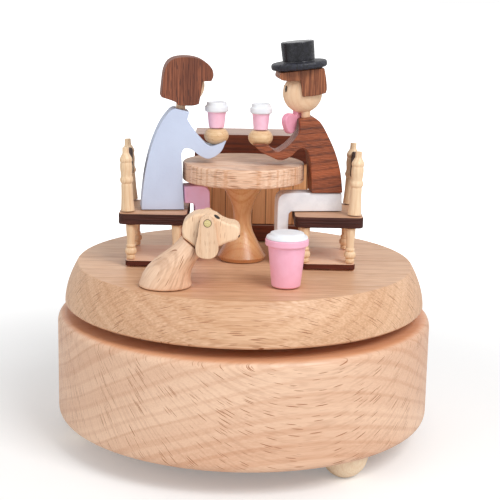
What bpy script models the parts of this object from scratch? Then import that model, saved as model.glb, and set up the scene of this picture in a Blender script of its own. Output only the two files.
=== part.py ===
"""A wooden music box: a turned base holds the musical movement, and its turntable carries a
small cafe scene with two seated figures, a table, a counter, a dog and a large cup.

Metres, +Z up. The base stands on z = 0 around the Z axis. The figures face along X, and the
front of the scene looks towards -Y. Turning the turntable winds the spring, and it turns
back while the music plays.
"""

import math

import bmesh
import bpy
from mathutils import Matrix, Vector

# Fits
SEAT_GAP = 0.0003
RUNNING_GAP = 0.0005
MESH_PLAY = 0.0001
EDGE_BREAK = 0.0006

# Base
FOOT_RADIUS = 0.0073
FOOT_HEIGHT = 0.0079
FOOT_FLAT_RADIUS = 0.0018
FOOT_INSET = 0.0104
FOOT_ANGLES = (-51, 69, 189)
BASE_RADIUS = 0.060
BASE_BOTTOM = 0.0082
BASE_HEIGHT = 0.0334
BASE_EDGE = 0.003
BASE_WEB = 0.006
CAVITY_RADIUS = 0.0395
COVER_RADIUS = 0.042
COVER_THICKNESS = 0.0024
SOUND_HOLE_X = 0.027
SOUND_HOLE_RADIUS = 0.005

# Turntable
TURNTABLE_LIFT = 0.0032
TURNTABLE_RADIUS = 0.0576
TURNTABLE_TOP_RADIUS = 0.05355
TURNTABLE_THICKNESS = 0.0131
TURNTABLE_FLARE = 1.8
FLANGE_RADIUS = 0.012
FLANGE_THICKNESS = 0.0023

# Musical movement
SHAFT_RADIUS = 0.0022
SHAFT_SOCKET = 0.003
SHAFT_END = 0.0015
BEDPLATE_THICKNESS = 0.002
BEDPLATE_RADIUS = 0.0385
BEDPLATE_CUT = 0.020
BARREL_RADIUS = 0.0145
BARREL_HEIGHT = 0.0055
BARREL_WALL = 0.0009
SPRING_THICKNESS = 0.0006
SPRING_TURNS = 4
TOOTH_ROOT = 1.2
TOOTH_TIP = 0.85
ROOT_SHARE = 0.27
TIP_SHARE = 0.10
DRIVE_TEETH = 32
DRIVE_MODULE = 0.0010
DRIVE_FACE = 0.0022
DRIVE_PLATE = 0.0012
CROWN_SLOT = 0.23
CROWN_MOUTH = 0.40
PINION_TEETH = 8
ARBOR_RADIUS = 0.0009
PIVOT_RADIUS = 0.0006
BRACKET_THICKNESS = 0.0014
BRACKET_EDGE = 0.0025
CYLINDER_RADIUS = 0.006
CYLINDER_LENGTH = 0.0124
CYLINDER_PIN = 0.0005
CYLINDER_PIN_WIDTH = 0.00035
COMB_TEETH = 15
COMB_SPAN = 0.96
NOTE_TURN = 137.5
COMB_TOOTH = 0.0094
COMB_THICKNESS = 0.0008
COMB_BODY = 0.004
TRAIN_MODULE = 0.00042
TRAIN_FACE = 0.0012
WHEEL_TEETH = 44
GOVERNOR_PINION_TEETH = 10
WORM_MODULE = 0.0005
WORM_WHEEL_TEETH = 16
WORM_RADIUS = 0.0012
WORM_ROOT = 0.9
WORM_TIP = 0.8
WORM_TURNS = 3
WORM_BLEND = 0.0001
WORM_CORE_SHARE = 0.8
FAN_RADIUS = 0.0031
FAN_HEIGHT = 0.005
FAN_THICKNESS = 0.0005
WORM_ARM = 0.005

# Table
TABLE_CENTRE_X = -0.001
TABLE_RADIUS = 0.01927
TABLE_THICKNESS = 0.0058
TABLE_HEIGHT = 0.0319
PEDESTAL_BASE_RADIUS = 0.0078
PEDESTAL_WAIST_RADIUS = 0.0028
PEDESTAL_TOP_RADIUS = 0.0072

# Chairs
LEFT_CHAIR_SPACE = 0.0091
RIGHT_CHAIR_SPACE = 0.0072
SEAT_LENGTH = 0.0214
SEAT_SHIFT = 0.0002
SEAT_DEPTH = 0.026
SEAT_FRONT = -0.015
SEAT_THICKNESS = 0.0034
SEAT_HEIGHT = 0.0171
PLATE_LENGTH = 0.0166
PLATE_SHIFT = 0.0005
PLATE_DEPTH = 0.0243
PLATE_THICKNESS = 0.0019
PLATE_FRONT = -0.0143
PLATE_EDGE = 0.0003
LEG_RADIUS = 0.0015
LEG_SPACING = 0.0142
LEG_INSET = 0.0024
POST_RADIUS = 0.0019
POST_HEIGHT = 0.0198
POST_OFFSET = 0.0082
POST_FRONT = -0.011
POST_LEAN = 2.0
LEFT_BACK_POST_LEAN = 3.6
LEFT_BACK_POST_SHIFT = 0.0006
POST_SPACING = 0.020
BACK_PANEL_THICKNESS = 0.0012
BACK_PANEL_LOW = 0.0095
BACK_PANEL_HIGH = 0.0182
BACK_PANEL_CROWN = 0.0012

# Unit of the drawn outlines
DRAWING_UNIT = 0.001

# Figures
FIGURE_YAW = 7
FIGURE_Y = -0.0033
FIGURE_THICKNESS = 0.0085
GARMENT_EDGE = 0.0006
LEFT_GUEST_REACH = 0.00077
RIGHT_GUEST_SPACE = 0.00023
HAIR_THICKNESS = 0.0098
HAIR_EDGE = 0.0007
LEFT_HEAD_RADIUS = 0.0057
RIGHT_HEAD_RADIUS = 0.0062
NECK_OVERLAP = 0.0031
HEAD_DEPTH = 0.0080
NECK_RADIUS = 0.00145
NECK_HOLE_DEPTH = 0.0025
TROUSER_THICKNESS = 0.0070
TROUSER_EDGE = 0.0005
HAND_RADIUS = 0.0039
HAND_HEIGHT = 0.0058
HAND_FLAT = 0.0022
HAND_CUP_RADIUS = 0.0037
HAND_CUP_HEIGHT = 0.0081
RIGHT_CUP_SCALE = 0.93
HAT_BRIM_RADIUS = 0.0087
HAT_CROWN_RADIUS = 0.0052
HAT_BRIM = 0.0021
HAT_CROWN_HEIGHT = 0.0062
HAT_TILT = -6.3
BOW_LENGTH = 0.0130
BOW_HEIGHT = 0.0064
BOW_THICKNESS = 0.0020
BOW_YAW = 45

# Counter
COUNTER_WIDTH = 0.046
COUNTER_DEPTH = 0.0182
COUNTER_FRONT = 0.0272
PLINTH_HEIGHT = 0.0055
PANEL_HEIGHT = 0.0210
COUNTER_TOP_HEIGHT = 0.0095
COUNTER_RECESS = 0.0008
COUNTER_EDGE = 0.0004

# Dog
DOG_X = -0.0230
DOG_Y = -0.0370
DOG_BODY_WIDTH = 0.0160
DOG_BODY_POINTS = 16
DOG_HEAD_WIDTH = 0.0084
DOG_HEAD_EDGE = 0.0018
DOG_EAR_THICKNESS = 0.0017
DOG_PEG_RADIUS = 0.0012
HOLE_EXCESS = 1.2

# Large cup
CUP_X = 0.0122
CUP_Y = -0.0360
CUP_BASE_RADIUS = 0.0043
CUP_TOP_RADIUS = 0.0055
CUP_RIM_RADIUS = 0.0064
CUP_HEIGHT = 0.0145
CUP_RIM_HEIGHT = 0.0022
CUP_RIM_EDGE = 0.0004
CUP_LID_HEIGHT = 0.0019
CUP_LID_DISC = 0.0047

# Heights that follow from the sizes above
BASE_TOP = BASE_BOTTOM + BASE_HEIGHT
WEB_UNDERSIDE = BASE_TOP - BASE_WEB
COVER_TOP = BASE_BOTTOM + COVER_THICKNESS
TURNTABLE_BOTTOM = BASE_TOP + TURNTABLE_LIFT
FLOOR = TURNTABLE_BOTTOM + TURNTABLE_THICKNESS
BEDPLATE_TOP = WEB_UNDERSIDE - SEAT_GAP
BEDPLATE_BOTTOM = BEDPLATE_TOP - BEDPLATE_THICKNESS
BARREL_TOP = BEDPLATE_BOTTOM - SEAT_GAP
BARREL_BOTTOM = BARREL_TOP - BARREL_HEIGHT
DRIVE_TOP = BARREL_BOTTOM - RUNNING_GAP
DRIVE_RADIUS = DRIVE_TEETH * DRIVE_MODULE / 2
PINION_RADIUS = PINION_TEETH * DRIVE_MODULE / 2
TOOTH_LINE = DRIVE_TOP - DRIVE_PLATE - DRIVE_MODULE * 1.25
CYLINDER_Z = TOOTH_LINE - PINION_RADIUS
INNER_BRACKET_X = DRIVE_RADIUS + DRIVE_FACE / 2 + RUNNING_GAP + BRACKET_THICKNESS / 2
CYLINDER_START = INNER_BRACKET_X + BRACKET_THICKNESS / 2 + RUNNING_GAP
CYLINDER_END = CYLINDER_START + CYLINDER_LENGTH
TRAIN_X = CYLINDER_END + TRAIN_FACE / 2
OUTER_BRACKET_X = TRAIN_X + TRAIN_FACE / 2 + RUNNING_GAP + BRACKET_THICKNESS / 2
WHEEL_RADIUS = WHEEL_TEETH * TRAIN_MODULE / 2
GOVERNOR_PINION_RADIUS = GOVERNOR_PINION_TEETH * TRAIN_MODULE / 2
GOVERNOR_Y = -(WHEEL_RADIUS + GOVERNOR_PINION_RADIUS + MESH_PLAY)
WORM_WHEEL_RADIUS = WORM_WHEEL_TEETH * WORM_MODULE / 2
WORM_X = (INNER_BRACKET_X + OUTER_BRACKET_X) / 2
WORM_Y = GOVERNOR_Y - WORM_WHEEL_RADIUS - WORM_RADIUS - 1.5 * MESH_PLAY
WORM_FOOT = CYLINDER_Z - WORM_WHEEL_RADIUS - WORM_MODULE - RUNNING_GAP
SHAFT_FOOT = DRIVE_TOP - DRIVE_PLATE - SHAFT_END
COMB_BACK = CYLINDER_RADIUS + CYLINDER_PIN + RUNNING_GAP + COMB_TOOTH + COMB_BODY
SEAT_TOP = FLOOR + SEAT_HEIGHT
TABLE_TOP = FLOOR + TABLE_HEIGHT
LEFT_GUEST_X = TABLE_CENTRE_X - TABLE_RADIUS + LEFT_GUEST_REACH
RIGHT_GUEST_X = TABLE_CENTRE_X + TABLE_RADIUS + RIGHT_GUEST_SPACE
LEFT_CHAIR_X = LEFT_GUEST_X - LEFT_CHAIR_SPACE
RIGHT_CHAIR_X = RIGHT_GUEST_X + RIGHT_CHAIR_SPACE

for old in list(bpy.data.objects):
    bpy.data.objects.remove(old, do_unlink=True)


def material(name, colour, roughness, metallic=0.0):
    made = bpy.data.materials.new(name)
    made.use_nodes = True
    shader = made.node_tree.nodes["Principled BSDF"]
    shader.inputs["Base Color"].default_value = (*colour, 1.0)
    shader.inputs["Roughness"].default_value = roughness
    shader.inputs["Metallic"].default_value = metallic
    made.diffuse_color = (*colour, 1.0)
    return made


BEECH = material("beech", (0.78, 0.55, 0.36), 0.45)
PALE_WOOD = material("pale_wood", (0.86, 0.74, 0.55), 0.5)
HONEY_WOOD = material("honey_wood", (0.69, 0.42, 0.20), 0.45)
OAK = material("oak", (0.74, 0.52, 0.34), 0.55)
WALNUT = material("walnut", (0.24, 0.09, 0.05), 0.5)
DARK_WALNUT = material("dark_walnut", (0.10, 0.04, 0.025), 0.5)
PLYWOOD = material("plywood", (0.20, 0.10, 0.06), 0.6)
PALE_BLUE = material("pale_blue_paint", (0.64, 0.69, 0.80), 0.5)
PINK = material("pink_paint", (0.89, 0.42, 0.55), 0.45)
WHITE = material("white_paint", (0.88, 0.86, 0.87), 0.4)
BLACK = material("black_paint", (0.02, 0.02, 0.025), 0.35)
BRASS = material("brass", (0.72, 0.53, 0.22), 0.3, 1.0)
STEEL = material("steel", (0.55, 0.55, 0.56), 0.3, 1.0)


def finish_mesh(name, bm, look, smooth_angle=35):
    """Makes the object of this name from the bmesh, with its normals outwards."""
    bmesh.ops.remove_doubles(bm, verts=bm.verts, dist=1e-7)
    bmesh.ops.recalc_face_normals(bm, faces=bm.faces)
    mesh = bpy.data.meshes.new(name)
    bm.to_mesh(mesh)
    bm.free()
    mesh.materials.append(look)
    mesh.shade_smooth()
    mesh.set_sharp_from_angle(angle=math.radians(smooth_angle))
    made = bpy.data.objects.new(name, mesh)
    bpy.context.scene.collection.objects.link(made)
    return made


def place(made, location=(0, 0, 0), turn=0.0, tilt=0.0, parent=None):
    """Puts the object at its place: turn is about Z and tilt is about Y, in degrees."""
    made.location = location
    made.rotation_euler = (0, math.radians(tilt), math.radians(turn))
    if parent is not None:
        made.parent = parent
    return made


def turned(name, profile, look, segments=24, axis="Z"):
    """A piece from the lathe. The profile's (radius, height) points run round its section."""
    bm = bmesh.new()
    points = [bm.verts.new((radius, 0, height)) for radius, height in profile]
    edges = [bm.edges.new(pair) for pair in zip(points, points[1:])]
    if profile[0][0] > 0 or profile[-1][0] > 0:
        edges.append(bm.edges.new((points[-1], points[0])))
    bmesh.ops.spin(
        bm,
        geom=points + edges,
        cent=(0, 0, 0),
        axis=(0, 0, 1),
        angle=2 * math.pi,
        steps=segments,
        use_merge=True,
    )
    if axis == "X":
        bm.transform(Matrix.Rotation(math.radians(90), 4, "Y"))
    return finish_mesh(name, bm, look)


def arc(centre_x, centre_y, radius, start, end, steps):
    """Points on an arc, from one angle to the other in degrees."""
    angles = [start + (end - start) * step / steps for step in range(steps + 1)]
    return [
        (
            centre_x + radius * math.cos(math.radians(angle)),
            centre_y + radius * math.sin(math.radians(angle)),
        )
        for angle in angles
    ]


def flowing(points, steps=3):
    """A closed outline through the points, in drawing units. A point that ends with a third
    value is a corner, and the line runs smoothly through the others."""
    count = len(points)
    outline = []
    for index, point in enumerate(points):
        here = Vector(point[:2])
        there = Vector(points[(index + 1) % count][:2])
        before = Vector(points[index - 1][:2])
        after = Vector(points[(index + 2) % count][:2])
        span = (there - here).length
        leave_corner = len(point) == 3
        arrive_corner = len(points[(index + 1) % count]) == 3
        leave = there - here if leave_corner else (there - before).normalized() * span
        arrive = there - here if arrive_corner else (after - here).normalized() * span
        straight = leave_corner and arrive_corner
        for step in range(1 if straight else steps):
            t = step / steps
            outline.append(
                here * (2 * t**3 - 3 * t**2 + 1)
                + leave * (t**3 - 2 * t**2 + t)
                + there * (3 * t**2 - 2 * t**3)
                + arrive * (t**3 - t**2)
            )
    return [(spot.x * DRAWING_UNIT, spot.y * DRAWING_UNIT) for spot in outline]


def cut_out(name, outline, thickness, look, rounding=0.0, rounds=2, flat=False):
    """A piece sawn from a board. Its outline lies in XZ, or in XY where flat is set, and the
    board's thickness is centred on Y, or stands up from z = 0."""
    bm = bmesh.new()
    if flat:
        rim = [bm.verts.new((x, y, 0)) for x, y in outline]
        along = Vector((0, 0, thickness))
    else:
        rim = [bm.verts.new((x, -thickness / 2, z)) for x, z in outline]
        along = Vector((0, thickness, 0))
    board = bm.faces.new(rim)
    grown = bmesh.ops.extrude_face_region(bm, geom=[board])["geom"]
    moved = [part for part in grown if isinstance(part, bmesh.types.BMVert)]
    bmesh.ops.translate(bm, verts=moved, vec=along)
    made = finish_mesh(name, bm, look)
    if rounding:
        soften(made, rounding, rounds)
    return made


def block(name, size, look, rounding=0.0, rounds=1):
    """A rectangular piece that stands on z = 0, centred on X and Y."""
    bm = bmesh.new()
    bmesh.ops.create_cube(bm, size=1.0)
    bmesh.ops.translate(bm, verts=bm.verts, vec=(0, 0, 0.5))
    bmesh.ops.scale(bm, verts=bm.verts, vec=size)
    made = finish_mesh(name, bm, look)
    if rounding:
        soften(made, rounding, rounds)
    return made


def soften(made, width, rounds):
    """Rounds the edges that turn by more than 40 degrees."""
    bevel = made.modifiers.new("softened_edges", "BEVEL")
    bevel.width = width
    bevel.segments = rounds
    bevel.limit_method = "ANGLE"
    bevel.angle_limit = math.radians(40)
    bevel.harden_normals = False


def cut(made, cutter, operation="DIFFERENCE"):
    """Takes the helper's shape away from the object, or joins it, and hides the helper."""
    cutter.hide_render = True
    cutter.display_type = "WIRE"
    boolean = made.modifiers.new(operation.lower(), "BOOLEAN")
    boolean.operation = operation
    boolean.solver = "EXACT"
    boolean.object = cutter


def rod(name, start, end, radius, look=STEEL, segments=12):
    """A round bar from one point to another."""
    start = Vector(start)
    span = Vector(end) - start
    bm = bmesh.new()
    bmesh.ops.create_cone(
        bm, cap_ends=True, segments=segments, radius1=radius, radius2=radius, depth=span.length
    )
    turn = Vector((0, 0, 1)).rotation_difference(span).to_matrix().to_4x4()
    bm.transform(Matrix.Translation(start + span / 2) @ turn)
    return finish_mesh(name, bm, look)


def drill(made, start, end, radius, segments=16):
    """Drills a round hole from one point to another."""
    cut(made, rod(f"{made.name}_drill_{len(made.modifiers)}", start, end, radius, STEEL, segments))


def holder(name, location, turn=0.0):
    """An empty that carries a group of pieces."""
    empty = bpy.data.objects.new(name, None)
    bpy.context.scene.collection.objects.link(empty)
    return place(empty, location, turn)


# Feet, base and cover


def make_foot(name, angle):
    """A half ball whose flat top meets the base. It stands on a small flat of its own."""
    last = math.acos(FOOT_FLAT_RADIUS / FOOT_RADIUS)
    turns = [last * step / 5 for step in range(6)]
    profile = [(0, FOOT_HEIGHT)]
    profile += [
        (FOOT_RADIUS * math.cos(turn), FOOT_HEIGHT * (1 - math.sin(turn) / math.sin(last)))
        for turn in turns
    ]
    profile += [(0, 0)]
    foot = turned(name, profile, PALE_WOOD, 16)
    x = (BASE_RADIUS - FOOT_INSET) * math.cos(math.radians(angle))
    y = (BASE_RADIUS - FOOT_INSET) * math.sin(math.radians(angle))
    return place(foot, (x, y, 0))


def make_base():
    lower = arc(BASE_RADIUS - BASE_EDGE, BASE_BOTTOM + BASE_EDGE, BASE_EDGE, 0, -90, 2)
    upper = arc(BASE_RADIUS - BASE_EDGE, BASE_TOP - BASE_EDGE, BASE_EDGE, 90, 0, 2)
    shaft_hole = SHAFT_RADIUS + RUNNING_GAP
    ledge = COVER_TOP + SEAT_GAP
    profile = [(shaft_hole, BASE_TOP), *upper, *lower]
    profile += [
        (COVER_RADIUS + SEAT_GAP, BASE_BOTTOM),
        (COVER_RADIUS + SEAT_GAP, ledge),
        (CAVITY_RADIUS, ledge),
        (CAVITY_RADIUS, WEB_UNDERSIDE),
        (shaft_hole, WEB_UNDERSIDE),
    ]
    return turned("base_body", profile, BEECH, 48)


def make_cover():
    """The cover has a hole that lets the sound out, beside the movement."""
    cover = turned(
        "base_cover",
        [
            (0, COVER_THICKNESS),
            (COVER_RADIUS, COVER_THICKNESS),
            (COVER_RADIUS, EDGE_BREAK),
            (COVER_RADIUS - EDGE_BREAK, 0),
            (0, 0),
        ],
        PLYWOOD,
        48,
    )
    place(cover, (0, 0, BASE_BOTTOM))
    drill(
        cover,
        (SOUND_HOLE_X, 0, BASE_BOTTOM - COVER_THICKNESS),
        (SOUND_HOLE_X, 0, COVER_TOP + COVER_THICKNESS),
        SOUND_HOLE_RADIUS,
        24,
    )


for number, foot_angle in enumerate(FOOT_ANGLES, 1):
    make_foot(f"foot_{number}", foot_angle)
make_base()
make_cover()

# Musical movement


def gear_outline(teeth, module, first_tooth):
    """Straight-flanked teeth round a circle. The first tooth points along this angle."""
    pitch = 360 / teeth
    root = teeth * module / 2 - TOOTH_ROOT * module
    tip = teeth * module / 2 + TOOTH_TIP * module
    corners = ((root, -ROOT_SHARE), (tip, -TIP_SHARE), (tip, TIP_SHARE), (root, ROOT_SHARE))
    outline = []
    for tooth in range(teeth):
        middle = first_tooth + tooth * pitch
        for radius, share in corners:
            angle = math.radians(middle + share * pitch)
            outline.append((radius * math.cos(angle), radius * math.sin(angle)))
    return outline


def gear(name, teeth, module, face, location, first_tooth=0.0):
    """A spur gear on an axis along X. Its angles run from +Y towards +Z."""
    wheel = cut_out(name, gear_outline(teeth, module, first_tooth), face, BRASS, flat=True)
    onto_x = Matrix(((0, 0, 1, -face / 2), (1, 0, 0, 0), (0, 1, 0, 0), (0, 0, 0, 1)))
    wheel.data.transform(onto_x)
    return place(wheel, location)


def plate(name, low, high, look=BRASS):
    """A rectangular helper or piece between two corners."""
    low = Vector(low)
    high = Vector(high)
    made = block(name, high - low, look)
    return place(made, ((low.x + high.x) / 2, (low.y + high.y) / 2, low.z))


def make_bedplate():
    half = math.degrees(math.acos(BEDPLATE_CUT / BEDPLATE_RADIUS))
    outline = arc(0, 0, BEDPLATE_RADIUS, half, 360 - half, 28)
    bedplate = cut_out("bedplate", outline, BEDPLATE_THICKNESS, BRASS, flat=True)
    place(bedplate, (0, 0, BEDPLATE_BOTTOM))
    overlap = BEDPLATE_BOTTOM + BEDPLATE_THICKNESS / 2
    for side, x in (("inner", -INNER_BRACKET_X), ("outer", -OUTER_BRACKET_X)):
        bracket = plate(
            f"{side}_bracket",
            (x - BRACKET_THICKNESS / 2, GOVERNOR_Y - BRACKET_EDGE, CYLINDER_Z - BRACKET_EDGE),
            (x + BRACKET_THICKNESS / 2, BRACKET_EDGE, overlap),
        )
        cut(bedplate, bracket, "UNION")
    comb_rest = plate(
        "comb_rest",
        (-CYLINDER_END, COMB_BACK - COMB_BODY + RUNNING_GAP, CYLINDER_Z + COMB_THICKNESS / 2 + SEAT_GAP),
        (-CYLINDER_START, COMB_BACK, overlap),
    )
    cut(bedplate, comb_rest, "UNION")
    arm_face = WORM_Y - FAN_RADIUS - RUNNING_GAP
    arm = plate(
        "worm_arm",
        (-WORM_X - WORM_ARM / 2, arm_face - BRACKET_THICKNESS, WORM_FOOT - BRACKET_THICKNESS),
        (-WORM_X + WORM_ARM / 2, arm_face, overlap),
    )
    cut(bedplate, arm, "UNION")
    shelf = plate(
        "worm_shelf",
        (-WORM_X - WORM_ARM / 2, arm_face - BRACKET_THICKNESS / 2, WORM_FOOT - BRACKET_THICKNESS),
        (-WORM_X + WORM_ARM / 2, WORM_Y + WORM_RADIUS, WORM_FOOT),
    )
    cut(bedplate, shelf, "UNION")
    drill(
        bedplate,
        (0, 0, BEDPLATE_BOTTOM - 0.001),
        (0, 0, BEDPLATE_TOP + 0.001),
        SHAFT_RADIUS + RUNNING_GAP,
    )
    for y in (0, GOVERNOR_Y):
        drill(
            bedplate,
            (-OUTER_BRACKET_X - 0.002, y, CYLINDER_Z),
            (-INNER_BRACKET_X + 0.002, y, CYLINDER_Z),
            ARBOR_RADIUS + SEAT_GAP,
            10,
        )
    drill(
        bedplate,
        (-WORM_X, WORM_Y, WORM_FOOT - 0.005),
        (-WORM_X, WORM_Y, BEDPLATE_TOP + 0.001),
        PIVOT_RADIUS + SEAT_GAP,
        10,
    )


def make_barrel():
    bore = SHAFT_RADIUS + RUNNING_GAP
    inside = BARREL_RADIUS - BARREL_WALL
    turned(
        "spring_barrel",
        [
            (bore, BARREL_TOP),
            (BARREL_RADIUS, BARREL_TOP),
            (BARREL_RADIUS, BARREL_BOTTOM),
            (inside, BARREL_BOTTOM),
            (inside, BARREL_TOP - BARREL_WALL),
            (bore, BARREL_TOP - BARREL_WALL),
        ],
        BRASS,
        24,
    )


def make_mainspring():
    """A strip that winds out from the shaft to the barrel's wall."""
    inner = SHAFT_RADIUS + SEAT_GAP + SPRING_THICKNESS / 2
    outer = BARREL_RADIUS - BARREL_WALL - SEAT_GAP - SPRING_THICKNESS / 2
    low = BARREL_BOTTOM + SEAT_GAP
    high = BARREL_TOP - BARREL_WALL - SEAT_GAP
    steps = SPRING_TURNS * 10
    bm = bmesh.new()
    rings = []
    for step in range(steps + 1):
        share = step / steps
        angle = 2 * math.pi * SPRING_TURNS * share
        radius = inner + (outer - inner) * share
        rings.append(
            [
                bm.verts.new((r * math.cos(angle), r * math.sin(angle), z))
                for r, z in (
                    (radius - SPRING_THICKNESS / 2, low),
                    (radius + SPRING_THICKNESS / 2, low),
                    (radius + SPRING_THICKNESS / 2, high),
                    (radius - SPRING_THICKNESS / 2, high),
                )
            ]
        )
    skin_rings(bm, rings)
    finish_mesh("mainspring", bm, STEEL)


def skin_rings(bm, rings):
    """Closes a tube over its rings of points, with a face at each end."""
    for first, second in zip(rings, rings[1:]):
        for index in range(len(first)):
            after = (index + 1) % len(first)
            bm.faces.new((first[index], first[after], second[after], second[index]))
    bm.faces.new(rings[0])
    bm.faces.new(rings[-1])


def make_shaft():
    shaft = rod(
        "winding_shaft",
        (0, 0, 0),
        (0, 0, TURNTABLE_BOTTOM + SHAFT_SOCKET - SHAFT_FOOT),
        SHAFT_RADIUS,
        STEEL,
        20,
    )
    place(shaft, (0, 0, SHAFT_FOOT))


def make_drive_wheel():
    """The crown wheel's teeth point down, to the pinion on the note cylinder."""
    bore = SHAFT_RADIUS + SEAT_GAP
    inner = DRIVE_RADIUS - DRIVE_FACE / 2
    outer = DRIVE_RADIUS + DRIVE_FACE / 2
    underside = DRIVE_TOP - DRIVE_PLATE
    tips = underside - (TOOTH_ROOT + TOOTH_TIP) * DRIVE_MODULE
    wheel = turned(
        "drive_wheel",
        [
            (bore, DRIVE_TOP),
            (outer, DRIVE_TOP),
            (outer, tips),
            (inner, tips),
            (inner, underside),
            (bore, underside),
        ],
        BRASS,
        DRIVE_TEETH,
    )
    pitch = 2 * math.pi * DRIVE_RADIUS / DRIVE_TEETH
    bm = bmesh.new()
    for tooth in range(DRIVE_TEETH):
        turn = Matrix.Rotation(2 * math.pi * tooth / DRIVE_TEETH, 3, "Z")
        rings = []
        for radius in (inner - DRIVE_MODULE, outer + DRIVE_MODULE):
            across = pitch * radius / DRIVE_RADIUS
            section = (
                (CROWN_SLOT * across, underside),
                (-CROWN_SLOT * across, underside),
                (-CROWN_MOUTH * across, tips - SEAT_GAP),
                (CROWN_MOUTH * across, tips - SEAT_GAP),
            )
            rings.append([bm.verts.new(turn @ Vector((radius, y, z))) for y, z in section])
        skin_rings(bm, rings)
    cut(wheel, finish_mesh("drive_wheel_slots", bm, BRASS))


def make_note_cylinder():
    """The pinned cylinder, with its arbor, driven pinion and large wheel in one piece."""
    centre = Vector((0, 0, CYLINDER_Z))
    pinned = turned(
        "note_cylinder",
        [
            (0, -CYLINDER_START),
            (CYLINDER_RADIUS, -CYLINDER_START),
            (CYLINDER_RADIUS, -CYLINDER_END + TRAIN_FACE / 4),
            (0, -CYLINDER_END + TRAIN_FACE / 4),
        ],
        BRASS,
        24,
        "X",
    )
    place(pinned, centre)
    arbor = rod(
        "cylinder_arbor",
        (-OUTER_BRACKET_X - BRACKET_THICKNESS, 0, CYLINDER_Z),
        (-DRIVE_RADIUS + DRIVE_FACE / 2 + RUNNING_GAP, 0, CYLINDER_Z),
        ARBOR_RADIUS,
        STEEL,
        10,
    )
    cut(pinned, arbor, "UNION")
    pinion = gear(
        "cylinder_pinion",
        PINION_TEETH,
        DRIVE_MODULE,
        DRIVE_FACE - 2 * SEAT_GAP,
        centre - Vector((DRIVE_RADIUS, 0, 0)),
        90,
    )
    cut(pinned, pinion, "UNION")
    wheel = gear(
        "cylinder_wheel",
        WHEEL_TEETH,
        TRAIN_MODULE,
        TRAIN_FACE,
        centre - Vector((TRAIN_X, 0, 0)),
        180,
    )
    cut(pinned, wheel, "UNION")
    bm = bmesh.new()
    row_pitch = CYLINDER_LENGTH * COMB_SPAN / COMB_TEETH
    pin = (CYLINDER_PIN_WIDTH, CYLINDER_PIN_WIDTH, 4 * CYLINDER_PIN)
    for row in range(COMB_TEETH):
        x = -CYLINDER_START - (row + 0.5) * row_pitch
        turn = Matrix.Rotation(math.radians(row * NOTE_TURN), 3, "X")
        made = bmesh.ops.create_cube(bm, size=1.0)["verts"]
        bmesh.ops.scale(bm, verts=made, vec=pin)
        bmesh.ops.translate(bm, verts=made, vec=(x, 0, CYLINDER_RADIUS - CYLINDER_PIN))
        bmesh.ops.rotate(bm, verts=made, cent=(0, 0, 0), matrix=turn)
    pins = place(finish_mesh("note_pins", bm, STEEL), centre)
    cut(pinned, pins, "UNION")


def make_comb():
    """Steel teeth of falling length, from the low notes to the high ones."""
    pitch = CYLINDER_LENGTH * COMB_SPAN / COMB_TEETH
    front = COMB_BACK - COMB_BODY - COMB_TOOTH
    start = -CYLINDER_START
    end = start - pitch * COMB_TEETH
    outline = [(start, COMB_BACK), (end, COMB_BACK), (end, front + COMB_TOOTH)]
    for tooth in reversed(range(COMB_TEETH)):
        near = start - (tooth + 0.2) * pitch
        far = start - (tooth + 0.8) * pitch
        slot = front + COMB_TOOTH * (0.55 + 0.45 * (tooth + 1) / COMB_TEETH)
        outline += [(far, slot), (far, front), (near, front), (near, slot)]
    outline.append((start, slot))
    comb = cut_out("comb", outline, COMB_THICKNESS, STEEL, flat=True)
    place(comb, (0, 0, CYLINDER_Z - COMB_THICKNESS / 2))


def make_governor():
    centre = Vector((0, GOVERNOR_Y, CYLINDER_Z))
    worm_wheel = gear(
        "governor_wheel",
        WORM_WHEEL_TEETH,
        WORM_MODULE,
        TRAIN_FACE,
        centre - Vector((WORM_X, 0, 0)),
        180,
    )
    pinion = gear(
        "governor_pinion",
        GOVERNOR_PINION_TEETH,
        TRAIN_MODULE,
        TRAIN_FACE,
        centre - Vector((TRAIN_X, 0, 0)),
        180 / GOVERNOR_PINION_TEETH,
    )
    cut(worm_wheel, pinion, "UNION")
    arbor = rod(
        "governor_arbor",
        centre - Vector((OUTER_BRACKET_X + BRACKET_THICKNESS, 0, 0)),
        centre - Vector((INNER_BRACKET_X - BRACKET_THICKNESS, 0, 0)),
        ARBOR_RADIUS,
        STEEL,
        10,
    )
    cut(worm_wheel, arbor, "UNION")


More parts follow.
